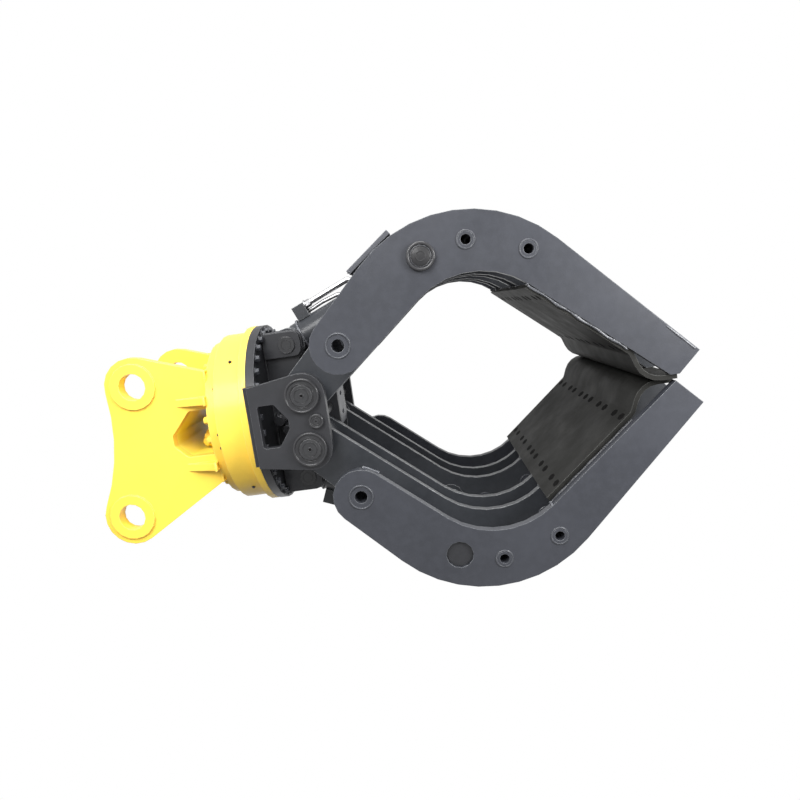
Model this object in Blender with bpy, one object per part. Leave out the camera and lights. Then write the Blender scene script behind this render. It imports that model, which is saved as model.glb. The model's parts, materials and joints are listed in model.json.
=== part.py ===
"""Rotating log grapple for an excavator stick, hanging with its jaws closed.

Metres, +Z up along the slewing axis, X across the jaw opening, Y along the hinge pins.
The origin lies on the slewing axis, level with the middle of the two stick pin bores.
Every flat plate is drawn as an outline and cut to its thickness; every pin, tube and ring is turned.
"""

import math

import bmesh
import bpy
from mathutils import Vector
from mathutils.geometry import tessellate_polygon

# Fits
SEAT_GAP = 0.0003
BORE_FIT = 0.0004
RUNNING_GAP = 0.0008
OVERRUN = 0.004

# Round stretches
CHORD_ERROR = 0.0012
LEAST_FACETS = 10
CORNER_STEPS = 3
SMOOTH_ANGLE = math.radians(35)
TURN = 2 * math.pi

# Head ears and their pin bores
EAR_GAP = 0.330
EAR_PLATE = 0.032
EAR_COLLAR = 0.008
EAR_COLLAR_RADIUS = 0.068
EAR_RIM_RADIUS = 0.086
EAR_WAIST_RADIUS = 0.604
STICK_BORE_RADIUS = 0.040
STICK_BORE_X = 0.153
STICK_BORE_Z = -0.039
LINK_BORE_X = -0.235
LINK_BORE_Z = 0.039
EAR_FOOT_HIGH_X = 0.170
EAR_FOOT_LOW_X = -0.162
PORT_HIGH_X = 0.060
PORT_LOW_X = -0.077
PORT_SIDE_Z = -0.188
PORT_PEAK_Z = -0.127
PORT_PEAK_HIGH_X = -0.008
PORT_PEAK_LOW_X = -0.040
PORT_LOW_SIDE_Z = -0.163
PORT_CORNER_RADIUS = 0.014
LINER_PLATE = 0.014
GUSSET_THICK = 0.022
GUSSET_HEIGHT = 0.108
GUSSET_REACH = 0.046
GUSSET_HIGH_X = 0.087
GUSSET_LOW_X = -0.108

# Slewing drive between head and frame
BASE_TOP_Z = -0.255
BASE_PLATE = 0.030
BASE_LAP = 0.015
GUARD_WALL = 0.034
GUARD_DEPTH = 0.078
GUARD_RIM_STEP = 0.016
FRAME_TOP_Z = -0.385
INNER_RING_WALL = 0.046
OUTER_RING_WALL = 0.026
RACE_GAP = 0.0008
RACE_LIP = 0.005
BEARING_OUTER_HEIGHT = 0.084
BEARING_INNER_HEIGHT = 0.084
GEAR_MODULE = 0.006
RING_TEETH = 52
PINION_TEETH = 12
PRESSURE_ANGLE = math.radians(25)
ADDENDUM_SHARE = 0.8
DEDENDUM_SHARE = 1.15
TOOTH_BACKLASH = 0.0008
PINION_FACE = 0.062
PINION_TOP_GAP = 0.010
PINION_X = -0.025
MOTOR_RADIUS = 0.044
MOTOR_HEIGHT = 0.078
MOTOR_WAIST_RADIUS = 0.038
MOTOR_FLANGE = 0.014
MOTOR_NECK = 0.012
MOTOR_PILOT_RADIUS = 0.034
MOTOR_PILOT_DEPTH = 0.006
SHAFT_RADIUS = 0.014
SHAFT_LENGTH = 0.040
SWIVEL_RADIUS = 0.050
SWIVEL_HEIGHT = 0.058
SWIVEL_NECK_RADIUS = 0.042
SWIVEL_CORE_RADIUS = 0.028
SWIVEL_HEAD_RADIUS = 0.036
SWIVEL_HEAD_HEIGHT = 0.010
SWIVEL_FOOT_RADIUS = 0.046
SWIVEL_FOOT_HEIGHT = 0.066
SWIVEL_FLANGE_RADIUS = 0.062
SWIVEL_FLANGE = 0.014

# Frame that carries the jaws
FRAME_TOP_PLATE = 0.025
SIDE_CLEARANCE = 0.009
SIDE_PLATE = 0.025
SIDE_TOP_Z = -0.402
SIDE_TOP_HALF = 0.114
HINGE_X = 0.075
HINGE_Z = -0.553
HINGE_RIM_RADIUS = 0.061
HINGE_BOSS_RADIUS = 0.050
HINGE_PIN_RADIUS = 0.035
HINGE_CAP_RADIUS = 0.048
HINGE_CAP_STEP_RADIUS = 0.030
HINGE_CAP = 0.012
HINGE_CAP_STEP = 0.002
WINDOW_TOP_Z = -0.423
WINDOW_HALF = 0.060
WINDOW_SHOULDER_Z = -0.470
WINDOW_POINT_Z = -0.504
WINDOW_POINT_HALF = 0.013
WINDOW_CORNER_RADIUS = 0.008
WEB_INNER_Y = 0.060
WEB_PLATE = 0.020
WEB_NECK_HALF = 0.150
LUG_X = 0.209
LUG_Z = -0.486
LUG_INNER_X = 0.170
LUG_OUTER_X = 0.252
LUG_END_Z = -0.531
LUG_CORNER_RADIUS = 0.024
LUG_PAD = 0.016
LUG_PAD_INSET = 0.003
LUG_PIN_RADIUS = 0.022
LUG_CAP_RADIUS = 0.026
LUG_CAP = 0.004
TIE_DROP = 0.028
TIE_RADIUS = 0.015
TIE_CAP_RADIUS = 0.021
TIE_CAP = 0.009
FOOT_PLATE = 0.014
FOOT_HALF = 0.062
FOOT_SLOT_HALF = 0.012
FOOT_SLOT_RADIUS = 0.007
FOOT_SLOT_X = 0.030

# Jaws, drawn for the one on the +X side
JAW_HALF_WIDTH = 0.418
OUTER_TINE = 0.025
INNER_TINE = 0.020
SECOND_TINE_Y = 0.233
THIRD_TINE_Y = 0.112
JAW_EYE_X = 0.200
JAW_EYE_Z = -0.685
JAW_EYE_RADIUS = 0.074
JAW_HUB_RADIUS = 0.062
JAW_HUB_TUBE_RADIUS = 0.054
JAW_BACK_ANGLE = math.radians(45)
JAW_BELLY_ANGLE = math.radians(40)
JAW_REACH_X = 0.485
JAW_BACK_RADIUS = 0.348
JAW_BELLY_RADIUS = 0.215
TIP_Z = -1.516
TIP_X = 0.003
TIP_WIDTH = 0.090
JAW_SHOULDER_RADIUS = 0.026
EYE_TUBE_RADIUS = 0.030
EYE_TUBE_BORE = 0.017
TIE_TUBE_RADIUS = 0.021
TIE_TUBE_BORE = 0.013
TIE_TUBE_STEP = 0.002
UPPER_TIE_X = 0.415
UPPER_TIE_Z = -1.037
LOWER_TIE_X = 0.371
LOWER_TIE_Z = -1.187
ROD_PIN_X = 0.390
ROD_PIN_Z = -0.922
ROD_PIN_RADIUS = 0.0275
ROD_PIN_COLLAR_RADIUS = 0.0355
ROD_PIN_COLLAR = 0.005
ROD_PIN_END = 0.006
ROD_BOSS_RADIUS = 0.042
COVER_PLATE = 0.010
COVER_RECESS = 0.008
SHELL_THICK = 0.012
SHELL_EDGE_INSET = 0.007
SHELL_SIDE_GAP = 0.014
SHELL_START_Z = -1.170
SHELL_BEND_Z = -1.409
SHELL_BEND_ANGLE = math.radians(70)
SHELL_BEND_RADIUS = 0.020
LIP_RADIUS = 0.068
LIP_END_GAP = 0.004
JAW_MEETING_GAP = 0.002
SLOT_LENGTH = 0.030
SLOT_WIDTH = 0.018
SLOT_PITCH = 0.060
SLOT_MARGIN = 0.029
SLOT_HEAD_MARGIN = 0.029
SLOT_FOOT_MARGIN = 0.002
SLOT_END_SHARE = 0.55
SLOT_GROUPS = (2, 2, 3, 2, 2)
GUARD_PLATE = 0.012
GUARD_AHEAD = 0.063
GUARD_BEHIND = 0.079
GUARD_EDGE_INSET = 0.007
GUARD_TILT = math.radians(37)

# Cylinders, drawn along -Z from the base pin
CYLINDER_RADIUS = 0.050
CYLINDER_BORE_RADIUS = 0.043
CYLINDER_EYE_RADIUS = 0.050
CYLINDER_NECK = 0.062
CYLINDER_LENGTH = 0.288
GLAND_RADIUS = 0.050
GLAND_FLANGE = 0.012
GLAND_DEPTH = 0.030
GLAND_PLAY = 0.0098
ROD_RADIUS = 0.025
ROD_EYE_RADIUS = 0.040
ROD_EYE_HALF = 0.045
PISTON_THICK = 0.040
PISTON_RADIUS = 0.0328
PISTON_MARGIN = 0.006
PORT_NEAR = 0.058
PORT_LENGTH = 0.040
PORT_WIDTH = 0.050
PORT_ROOF = 0.001
PORT_GLAND_LENGTH = 0.026
PORT_GLAND_HEIGHT = 0.014
PORT_GLAND_WIDTH = 0.034
PIPE_RADIUS = 0.009
PIPE_BEND = 0.012

# Values worked out from those above
EAR_INNER_Y = EAR_GAP / 2
EAR_OUTER_Y = EAR_INNER_Y + EAR_PLATE
BASE_BOTTOM_Z = BASE_TOP_Z - BASE_PLATE
FRAME_UNDER_Z = FRAME_TOP_Z - FRAME_TOP_PLATE
RING_PITCH_RADIUS = GEAR_MODULE * RING_TEETH / 2
PINION_PITCH_RADIUS = GEAR_MODULE * PINION_TEETH / 2
RACE_RADIUS = RING_PITCH_RADIUS + INNER_RING_WALL
GUARD_INNER_RADIUS = RACE_RADIUS + OUTER_RING_WALL
GUARD_RADIUS = GUARD_INNER_RADIUS + GUARD_WALL
BASE_RADIUS = GUARD_INNER_RADIUS + BASE_LAP
FRAME_TOP_RADIUS = GUARD_RADIUS + GUARD_RIM_STEP
SIDE_INNER_Y = FRAME_TOP_RADIUS + SIDE_CLEARANCE
SIDE_FACE_Y = SIDE_INNER_Y + SIDE_PLATE
WEB_OUTER_Y = WEB_INNER_Y + WEB_PLATE
TIE_Z = HINGE_Z - TIE_DROP
PINION_OFFSET = RING_PITCH_RADIUS - PINION_PITCH_RADIUS
PINION_Y = math.sqrt(PINION_OFFSET**2 - PINION_X**2)
PINION_ANGLE = math.atan2(PINION_Y, PINION_X)
CYLINDER_EYE_HALF = WEB_INNER_Y - RUNNING_GAP
SHELL_LOW_Y = SHELL_EDGE_INSET - JAW_HALF_WIDTH
SHELL_HIGH_Y = JAW_HALF_WIDTH - OUTER_TINE - SHELL_SIDE_GAP
LIP_ROOM = JAW_MEETING_GAP / 2 + SHELL_THICK + SEAT_GAP
PORT_HEIGHT = PORT_GLAND_HEIGHT + PIPE_BEND + 2 * PIPE_RADIUS + PORT_ROOF


def clear_scene():
    for thing in list(bpy.data.objects):
        bpy.data.objects.remove(thing, do_unlink=True)


def paint(name, colour, roughness, metallic):
    material = bpy.data.materials.new(name)
    material.use_nodes = True
    shader = material.node_tree.nodes["Principled BSDF"]
    shader.inputs["Base Color"].default_value = (*colour, 1.0)
    shader.inputs["Roughness"].default_value = roughness
    shader.inputs["Metallic"].default_value = metallic
    return material


def empty(name, location, turn_y=0.0, turn_z=0.0):
    holder = bpy.data.objects.new(name, None)
    holder.location = location
    holder.rotation_mode = "XYZ"
    holder.rotation_euler = (0.0, turn_y, turn_z)
    bpy.context.scene.collection.objects.link(holder)
    return holder


def place(name, mesh, material, parent=None, location=(0.0, 0.0, 0.0), rotation=(0.0, 0.0, 0.0)):
    thing = bpy.data.objects.new(name, mesh)
    if not mesh.materials:
        mesh.materials.append(material)
    thing.parent = parent
    thing.location = location
    thing.rotation_euler = rotation
    bpy.context.scene.collection.objects.link(thing)
    return thing


# Outline tools, all in the plane of the plate


def facets(radius, sweep=TURN):
    """How many flats stand for a round stretch; a full turn has an even number of them."""
    return math.ceil(sweep / (2 * math.acos(1 - CHORD_ERROR / radius)))


def full_turn(radius):
    return max(2 * math.ceil(facets(radius) / 2), LEAST_FACETS)


def arc(centre, radius, start, end, steps=None):
    points = []
    steps = steps or facets(radius, abs(end - start))
    for step in range(steps + 1):
        angle = start + (end - start) * step / steps
        points.append((centre[0] + radius * math.cos(angle), centre[1] + radius * math.sin(angle)))
    return points


def circle(centre, radius, steps=None, phase=0.0):
    return arc(centre, radius, phase, phase + TURN, steps or full_turn(radius))[:-1]


def seat(centre, radius, fit_radius=None):
    """A round hole for a piece of this radius that stays put; their flats line up."""
    return circle(centre, radius + BORE_FIT, full_turn(fit_radius or radius))


def half_facet(radius):
    return math.pi / full_turn(radius)


def clear_radius(radius):
    """The corner radius of a round hole whose flats clear a piece of this radius as it turns."""
    return (radius + BORE_FIT) / math.cos(half_facet(radius))


def bore(centre, radius):
    """A round hole for a turning piece; at rest its flats face the corners of that piece."""
    return circle(centre, clear_radius(radius), full_turn(radius), half_facet(radius))


def direction(angle):
    return Vector((math.cos(angle), math.sin(angle)))


def tangent_angle(point, centre, radius, side):
    """The angle, seen from the centre, at which a line from the point touches the circle."""
    reach = Vector(point) - Vector(centre)
    return math.atan2(reach.y, reach.x) + side * math.acos(radius / reach.length)


def crossing(point, along, other, other_along):
    """Where two lines cross, each given by a point and a direction."""
    gap = other - point
    share = (gap.x * other_along.y - gap.y * other_along.x) / (
        along.x * other_along.y - along.y * other_along.x
    )
    return point + along * share


def rounded(corners, radii, closed=True, steps=CORNER_STEPS):
    """A polygon with each corner turned into an arc of its own radius."""
    points = []
    count = len(corners)
    for index, radius in enumerate(radii):
        here = Vector(corners[index])
        if radius == 0 or (not closed and index in (0, count - 1)):
            points.append(tuple(here))
            continue
        back = (Vector(corners[index - 1]) - here).normalized()
        ahead = (Vector(corners[(index + 1) % count]) - here).normalized()
        half = back.angle(ahead) / 2
        middle = here + (back + ahead).normalized() * radius / math.sin(half)
        first = here + back * radius / math.tan(half) - middle
        last = here + ahead * radius / math.tan(half) - middle
        sweep = first.angle_signed(last)
        begin = math.atan2(first.y, first.x)
        points.extend(arc(middle, radius, begin, begin - sweep, steps))
    return points


# Solid tools


class Feature:
    """A hole through a plate, with a raised pad round it on the low or the high face."""

    def __init__(self, hole=None, low_pad=None, low_end=None, high_pad=None, high_end=None):
        self.hole = hole
        self.low_pad = low_pad
        self.low_end = low_end
        self.high_pad = high_pad
        self.high_end = high_end


def plate(outline, features, low, high, upright=True):
    """A plate between two levels; upright plates stand in XZ, the others lie in XY."""
    build = bmesh.new()

    def ring(loop, level):
        if upright:
            return [build.verts.new((u, level, v)) for u, v in loop]
        return [build.verts.new((u, v, level)) for u, v in loop]

    def wall(first, second):
        for index in range(len(first)):
            build.faces.new((first[index - 1], first[index], second[index], second[index - 1]))

    def cap(rings):
        verts = [vert for loop in rings for vert in loop]
        for triangle in tessellate_polygon([[vert.co for vert in loop] for loop in rings]):
            build.faces.new([verts[index] for index in triangle])

    low_rings = [ring(outline, low)]
    high_rings = [ring(outline, high)]
    wall(low_rings[0], high_rings[0])
    for feature in features:
        ends = []
        sides = (
            (low_rings, low, feature.low_pad, feature.low_end),
            (high_rings, high, feature.high_pad, feature.high_end),
        )
        for rings, level, pad, pad_end in sides:
            mouth_level = pad_end if pad else level
            mouth = ring(feature.hole, mouth_level) if feature.hole else None
            ends.append(mouth)
            if not pad:
                rings.append(mouth)
                continue
            root = ring(pad, level)
            crown = ring(pad, pad_end)
            rings.append(root)
            wall(root, crown)
            cap([crown, mouth] if mouth else [crown])
        if feature.hole:
            wall(ends[0], ends[1])
    cap([loop for loop in low_rings if loop])
    cap([loop for loop in high_rings if loop])
    return finished(build)


def turned(profile, fit_radius, hollow=False, phase=0.0):
    """A solid turned about Z from (radius, level) points, faceted to suit one of its radii."""
    build = bmesh.new()
    steps = full_turn(fit_radius)
    rings = []
    for radius, level in profile:
        if radius == 0:
            rings.append([build.verts.new((0.0, 0.0, level))])
        else:
            loop = circle((0.0, 0.0), radius, steps, phase)
            rings.append([build.verts.new((u, v, level)) for u, v in loop])
    pairs = list(zip(rings, rings[1:]))
    if hollow:
        pairs.append((rings[-1], rings[0]))
    for first, second in pairs:
        for index in range(steps):
            if len(first) == 1:
                corners = [first[0], second[index], second[index - 1]]
            elif len(second) == 1:
                corners = [first[index - 1], first[index], second[0]]
            else:
                corners = [first[index - 1], first[index], second[index], second[index - 1]]
            build.faces.new(corners)
    return finished(build)


def finished(build):
    bmesh.ops.recalc_face_normals(build, faces=build.faces)
    mesh = bpy.data.meshes.new("solid")
    build.to_mesh(mesh)
    build.free()
    mesh.shade_smooth()
    mesh.set_sharp_from_angle(angle=SMOOTH_ANGLE)
    return mesh


def block(size, centre):
    build = bmesh.new()
    bmesh.ops.create_cube(build, size=1.0)
    bmesh.ops.scale(build, vec=size, verts=build.verts)
    bmesh.ops.translate(build, vec=centre, verts=build.verts)
    return finished(build)


def tube(outer, inner, low, high):
    return turned([(inner, low), (outer, low), (outer, high), (inner, high)], outer, hollow=True)


def combined(first, second, operation, turn_x=0.0):
    """The mesh of two solids joined, or of one cut by the other, the second turned about X."""
    body = bpy.data.objects.new("body", first)
    tool = bpy.data.objects.new("tool", second)
    tool.rotation_euler = (turn_x, 0.0, 0.0)
    for thing in (body, tool):
        bpy.context.scene.collection.objects.link(thing)
    step = body.modifiers.new("step", "BOOLEAN")
    step.operation = operation
    step.solver = "EXACT"
    step.object = tool
    bpy.context.view_layer.update()
    result = bpy.data.meshes.new_from_object(body.evaluated_get(bpy.context.evaluated_depsgraph_get()))
    for thing in (body, tool):
        bpy.data.objects.remove(thing, do_unlink=True)
    result.shade_smooth()
    result.set_sharp_from_angle(angle=SMOOTH_ANGLE)
    return result


def across(radius, half):
    """A plain round bar about Z, half of it on each side of zero."""
    return turned([(0.0, -half), (radius, -half), (radius, half), (0.0, half)], radius)


def running_hole(radius, half):
    """The cutter for a hole in which a piece of this radius turns."""
    reach = clear_radius(radius)
    profile = [(0.0, -half), (reach, -half), (reach, half), (0.0, half)]
    return turned(profile, radius, phase=half_facet(radius))


LIE_ALONG_Y = math.pi / 2


# Head


def waist_arc(high, low):
    """The hollow between the two pin bores, which runs into both rims."""
    middle = (high + low) / 2
    half = (high - low).length / 2
    across_line = Vector((low.y - high.y, high.x - low.x)).normalized()
    depth = math.sqrt((EAR_WAIST_RADIUS + EAR_RIM_RADIUS) ** 2 - half**2)
    centre = middle + across_line * depth
    return centre, (high - centre).to_2d(), (low - centre).to_2d()


def port_outline(margin):
    """The hose window of an ear, grown by a margin; it stands open towards the base plate."""
    corners = [
        (PORT_LOW_X - margin, BASE_TOP_Z + SEAT_GAP),
        (PORT_LOW_X - margin, PORT_LOW_SIDE_Z + margin / 2),
        (PORT_PEAK_LOW_X - margin / 2, PORT_PEAK_Z + margin),
        (PORT_PEAK_HIGH_X + margin / 2, PORT_PEAK_Z + margin),
        (PORT_HIGH_X + margin, PORT_SIDE_Z + margin / 2),
        (PORT_HIGH_X + margin, BASE_TOP_Z + SEAT_GAP),
    ]
    radius = PORT_CORNER_RADIUS + margin
    return rounded(corners, [0, radius, radius, radius, radius, 0], closed=False)


def ear_outline():
    high = Vector((STICK_BORE_X, STICK_BORE_Z))
    low = Vector((LINK_BORE_X, LINK_BORE_Z))
    foot_high = (EAR_FOOT_HIGH_X, BASE_TOP_Z + SEAT_GAP)
    foot_low = (EAR_FOOT_LOW_X, BASE_TOP_Z + SEAT_GAP)
    centre, to_high, to_low = waist_arc(high, low)
    high_start = tangent_angle(foot_high, high, EAR_RIM_RADIUS, 1)
    high_end = math.atan2(-to_high.y, -to_high.x)
    low_start = math.atan2(-to_low.y, -to_low.x)
    low_end = tangent_angle(foot_low, low, EAR_RIM_RADIUS, -1)
    points = [foot_high]
    points += arc(high, EAR_RIM_RADIUS, high_start, high_end)
    waist_start = math.atan2(to_high.y, to_high.x)
    waist_end = math.atan2(to_low.y, to_low.x)
    points += arc(centre, EAR_WAIST_RADIUS, waist_start, waist_end)[1:-1]
    points += arc(low, EAR_RIM_RADIUS, low_start, low_end % TURN)
    points.append(foot_low)
    return points + port_outline(0.0)


def pin_collar(centre):
    return circle(centre, STICK_BORE_RADIUS), circle(centre, EAR_COLLAR_RADIUS)


def gusset(x):
    """A triangle that stands on the base plate and against an ear."""
    foot = BASE_TOP_Z + SEAT_GAP
    corners = [(0.0, foot), (-GUSSET_REACH, foot), (0.0, foot + GUSSET_HEIGHT)]
    build = bmesh.new()
    rings = []
    for side in (x - GUSSET_THICK / 2, x + GUSSET_THICK / 2):
        rings.append([build.verts.new((side, -EAR_OUTER_Y + OVERRUN + y, z)) for y, z in corners])
    build.faces.new(rings[0])
    build.faces.new(rings[1])
    for index in range(len(corners)):
        build.faces.new((rings[0][index - 1], rings[0][index], rings[1][index], rings[1][index - 1]))
    return finished(build)


def ear():
    features = []
    for centre in ((STICK_BORE_X, STICK_BORE_Z), (LINK_BORE_X, LINK_BORE_Z)):
        hole, pad = pin_collar(centre)
        features.append(Feature(hole, low_pad=pad, low_end=-EAR_OUTER_Y - EAR_COLLAR))
    mesh = plate(ear_outline(), features, -EAR_OUTER_Y, -EAR_INNER_Y)
    for x in (GUSSET_HIGH_X, GUSSET_LOW_X):
        mesh = combined(mesh, gusset(x), "UNION")
    return mesh


def base_plate():
    holes = [
        Feature(seat((0.0, 0.0), SWIVEL_NECK_RADIUS)),
        Feature(seat((PINION_X, PINION_Y), MOTOR_PILOT_RADIUS)),
    ]
    outline = circle((0.0, 0.0), BASE_RADIUS)
    return plate(outline, holes, BASE_BOTTOM_Z, BASE_TOP_Z, upright=False)


def liner():
    """The bent plate between the ears that lines the hose window."""
    outline = port_outline(LINER_PLATE) + port_outline(0.0)[::-1]
    half = EAR_INNER_Y - SEAT_GAP
    return plate(outline, [], -half, half)


def motor():
    top = MOTOR_HEIGHT
    waist_low = MOTOR_FLANGE
    waist_high = MOTOR_FLANGE + MOTOR_NECK
    pilot = -MOTOR_PILOT_DEPTH
    pocket = (SHAFT_RADIUS + BORE_FIT) / math.cos(math.pi / full_turn(MOTOR_PILOT_RADIUS))
    rim = MOTOR_RADIUS - MOTOR_PILOT_DEPTH
    profile = [
        (0.0, SHAFT_LENGTH),
        (pocket, SHAFT_LENGTH),
        (pocket, pilot),
        (MOTOR_PILOT_RADIUS, pilot),
        (MOTOR_PILOT_RADIUS, 0.0),
        (MOTOR_RADIUS, 0.0),
        (MOTOR_RADIUS, waist_low),
        (MOTOR_WAIST_RADIUS, waist_low),
        (MOTOR_WAIST_RADIUS, waist_high),
        (MOTOR_RADIUS, waist_high),
        (MOTOR_RADIUS, top - MOTOR_PILOT_DEPTH),
        (rim, top),
        (0.0, top),
    ]
    return turned(profile, MOTOR_PILOT_RADIUS)


def involute(angle):
    return math.tan(angle) - angle


def gear_outline(teeth, tip_radius, root_radius, widen, phase):
    """Teeth with involute flanks; widen is added to the thickness of each on the pitch circle."""
    pitch_radius = GEAR_MODULE * teeth / 2
    base_radius = pitch_radius * math.cos(PRESSURE_ANGLE)
    half_tooth = math.pi / (2 * teeth) + widen / (2 * pitch_radius)
    flank_start = max(root_radius, base_radius)
    points = []
    for tooth in range(teeth):
        middle = phase + TURN * tooth / teeth
        flank = []
        for radius in (flank_start, (flank_start + tip_radius) / 2, tip_radius):
            slope = math.acos(base_radius / radius)
            half = half_tooth + involute(PRESSURE_ANGLE) - involute(slope)
            flank.append((radius, half))
        if flank_start > root_radius:
            flank.insert(0, (root_radius, flank[0][1]))
        for radius, half in flank:
            points.append(tuple(direction(middle - half) * radius))
        for radius, half in reversed(flank):
            points.append(tuple(direction(middle + half) * radius))
    return points


def ring_gear():
    """The inner bearing ring with its teeth, bolted on the frame."""
    space_tip = RING_PITCH_RADIUS + GEAR_MODULE * DEDENDUM_SHARE
    space_root = RING_PITCH_RADIUS - GEAR_MODULE * ADDENDUM_SHARE
    hole = gear_outline(RING_TEETH, space_tip, space_root, TOOTH_BACKLASH, PINION_ANGLE)
    outline = circle((0.0, 0.0), RACE_RADIUS - RACE_GAP)
    low = FRAME_TOP_Z + SEAT_GAP
    return plate(outline, [Feature(hole)], low, low + BEARING_INNER_HEIGHT, upright=False)


def pinion():
    tip = PINION_PITCH_RADIUS + GEAR_MODULE * ADDENDUM_SHARE
    root = PINION_PITCH_RADIUS - GEAR_MODULE * DEDENDUM_SHARE
    outline = gear_outline(PINION_TEETH, tip, root, -TOOTH_BACKLASH, PINION_ANGLE)
    top = BASE_BOTTOM_Z - PINION_TOP_GAP
    shaft = circle((0.0, 0.0), SHAFT_RADIUS)
    shaft_top = BASE_TOP_Z + SHAFT_LENGTH - OVERRUN
    feature = Feature(None, high_pad=shaft, high_end=shaft_top)
    return plate(outline, [feature], top - PINION_FACE, top, upright=False)


def bearing_outer():
    top = BASE_BOTTOM_Z - SEAT_GAP
    low = top - BEARING_OUTER_HEIGHT
    outer = GUARD_INNER_RADIUS - SEAT_GAP
    bore_radius = RACE_RADIUS / math.cos(math.pi / full_turn(outer))
    lip_radius = bore_radius + RACE_LIP
    profile = [
        (bore_radius, low + RACE_LIP),
        (lip_radius, low),
        (outer, low),
        (outer, top),
        (bore_radius, top),
    ]
    return turned(profile, outer, hollow=True)


def guard_ring():
    """The housing round the bearing, stepped out to a rim above the frame."""
    top = BASE_BOTTOM_Z - SEAT_GAP
    step = top - GUARD_DEPTH
    low = FRAME_TOP_Z + RUNNING_GAP
    inner = GUARD_INNER_RADIUS / math.cos(math.pi / full_turn(GUARD_RADIUS))
    profile = [
        (inner, low),
        (FRAME_TOP_RADIUS, low),
        (FRAME_TOP_RADIUS, step),
        (GUARD_RADIUS, step),
        (GUARD_RADIUS, top),
        (inner, top),
    ]
    return turned(profile, GUARD_RADIUS, hollow=True)


def swivel_housing():
    """The still part of the oil swivel, flanged on the base plate."""
    top = BASE_TOP_Z + SWIVEL_HEIGHT
    inner = (SWIVEL_CORE_RADIUS + BORE_FIT) / math.cos(math.pi / full_turn(SWIVEL_NECK_RADIUS))
    flange = BASE_TOP_Z + SEAT_GAP
    profile = [
        (inner, BASE_BOTTOM_Z),
        (SWIVEL_NECK_RADIUS, BASE_BOTTOM_Z),
        (SWIVEL_NECK_RADIUS, flange),
        (SWIVEL_RADIUS, flange),
        (SWIVEL_RADIUS, top),
        (inner, top),
    ]
    return turned(profile, SWIVEL_NECK_RADIUS, hollow=True)


def swivel_core():
    """The turning part of the oil swivel, which hangs down into the frame."""
    head_low = BASE_TOP_Z + SWIVEL_HEIGHT + RUNNING_GAP
    head_top = head_low + SWIVEL_HEAD_HEIGHT
    flange_low = FRAME_TOP_Z + SEAT_GAP
    flange_top = flange_low + SWIVEL_FLANGE
    profile = [
        (0.0, head_top),
        (SWIVEL_HEAD_RADIUS, head_top),
        (SWIVEL_HEAD_RADIUS, head_low),
        (SWIVEL_CORE_RADIUS, head_low),
        (SWIVEL_CORE_RADIUS, flange_top),
        (SWIVEL_FLANGE_RADIUS, flange_top),
        (SWIVEL_FLANGE_RADIUS, flange_low),
        (SWIVEL_FOOT_RADIUS, flange_low),
        (SWIVEL_FOOT_RADIUS, flange_low - SWIVEL_FOOT_HEIGHT),
        (0.0, flange_low - SWIVEL_FOOT_HEIGHT),
    ]
    return turned(profile, SWIVEL_FOOT_RADIUS)


def make_head(yellow, steel):
    ear_mesh = ear()
    place("head_ear_left", ear_mesh, yellow)
    mirrored = ear_mesh.copy()
    build = bmesh.new()
    build.from_mesh(mirrored)
    for vert in build.verts:
        vert.co.y = -vert.co.y
    bmesh.ops.reverse_faces(build, faces=build.faces)
    build.to_mesh(mirrored)
    build.free()
    place("head_ear_right", mirrored, yellow)
    place("head_base_plate", base_plate(), yellow)
    place("head_port_liner", liner(), yellow)
    place("slew_guard_ring", guard_ring(), yellow)
    place("slew_bearing_outer_ring", bearing_outer(), steel)
    place("slew_motor", motor(), yellow, location=(PINION_X, PINION_Y, BASE_TOP_Z + SEAT_GAP))
    place("swivel_housing", swivel_housing(), yellow)
    pinion_axle = empty("pinion_axle", (PINION_X, PINION_Y, 0.0))
    place("slew_pinion", pinion(), steel, parent=pinion_axle)


# Frame


def frame_top():
    """A round plate, carried out to meet the two side plates."""
    half = SIDE_TOP_HALF
    edge_y = SIDE_INNER_Y - SEAT_GAP
    corner = math.acos(half / FRAME_TOP_RADIUS)
    points = arc((0.0, 0.0), FRAME_TOP_RADIUS, -corner, corner)
    points += [(half, edge_y), (-half, edge_y)]
    points += arc((0.0, 0.0), FRAME_TOP_RADIUS, math.pi - corner, math.pi + corner)
    points += [(-half, -edge_y), (half, -edge_y)]
    hole = Feature(seat((0.0, 0.0), SWIVEL_FOOT_RADIUS))
    return plate(points, [hole], FRAME_UNDER_Z, FRAME_TOP_Z, upright=False)


def hinge_foot(half_top, top):
    """The lower part of a frame plate: straight down to the hinge rims and level between them."""
    hinge = (HINGE_X, HINGE_Z)
    start = tangent_angle((half_top, top), hinge, HINGE_RIM_RADIUS, -1)
    return arc(hinge, HINGE_RIM_RADIUS, start, -math.pi / 2)


def mirrored_x(points):
    return [(-x, y) for x, y in reversed(points)]


def frame_side():
    lower = hinge_foot(SIDE_TOP_HALF, SIDE_TOP_Z)
    right = [(SIDE_TOP_HALF, SIDE_TOP_Z)] + lower
    outline = right + mirrored_x(right)
    window = [
        (WINDOW_HALF, WINDOW_TOP_Z),
        (WINDOW_HALF, WINDOW_SHOULDER_Z),
        (WINDOW_POINT_HALF, WINDOW_POINT_Z),
    ]
    window += mirrored_x(window)
    features = [Feature(rounded(window, [WINDOW_CORNER_RADIUS] * len(window)))]
    features.append(Feature(seat((0.0, TIE_Z), TIE_RADIUS)))
    boss_end = -(SECOND_TINE_Y + INNER_TINE / 2 + RUNNING_GAP)
    for x in (HINGE_X, -HINGE_X):
        hole = seat((x, HINGE_Z), HINGE_PIN_RADIUS)
        boss = circle((x, HINGE_Z), HINGE_BOSS_RADIUS)
        features.append(Feature(hole, high_pad=boss, high_end=boss_end))
    return plate(outline, features, -SIDE_FACE_Y, -SIDE_INNER_Y)


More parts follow.
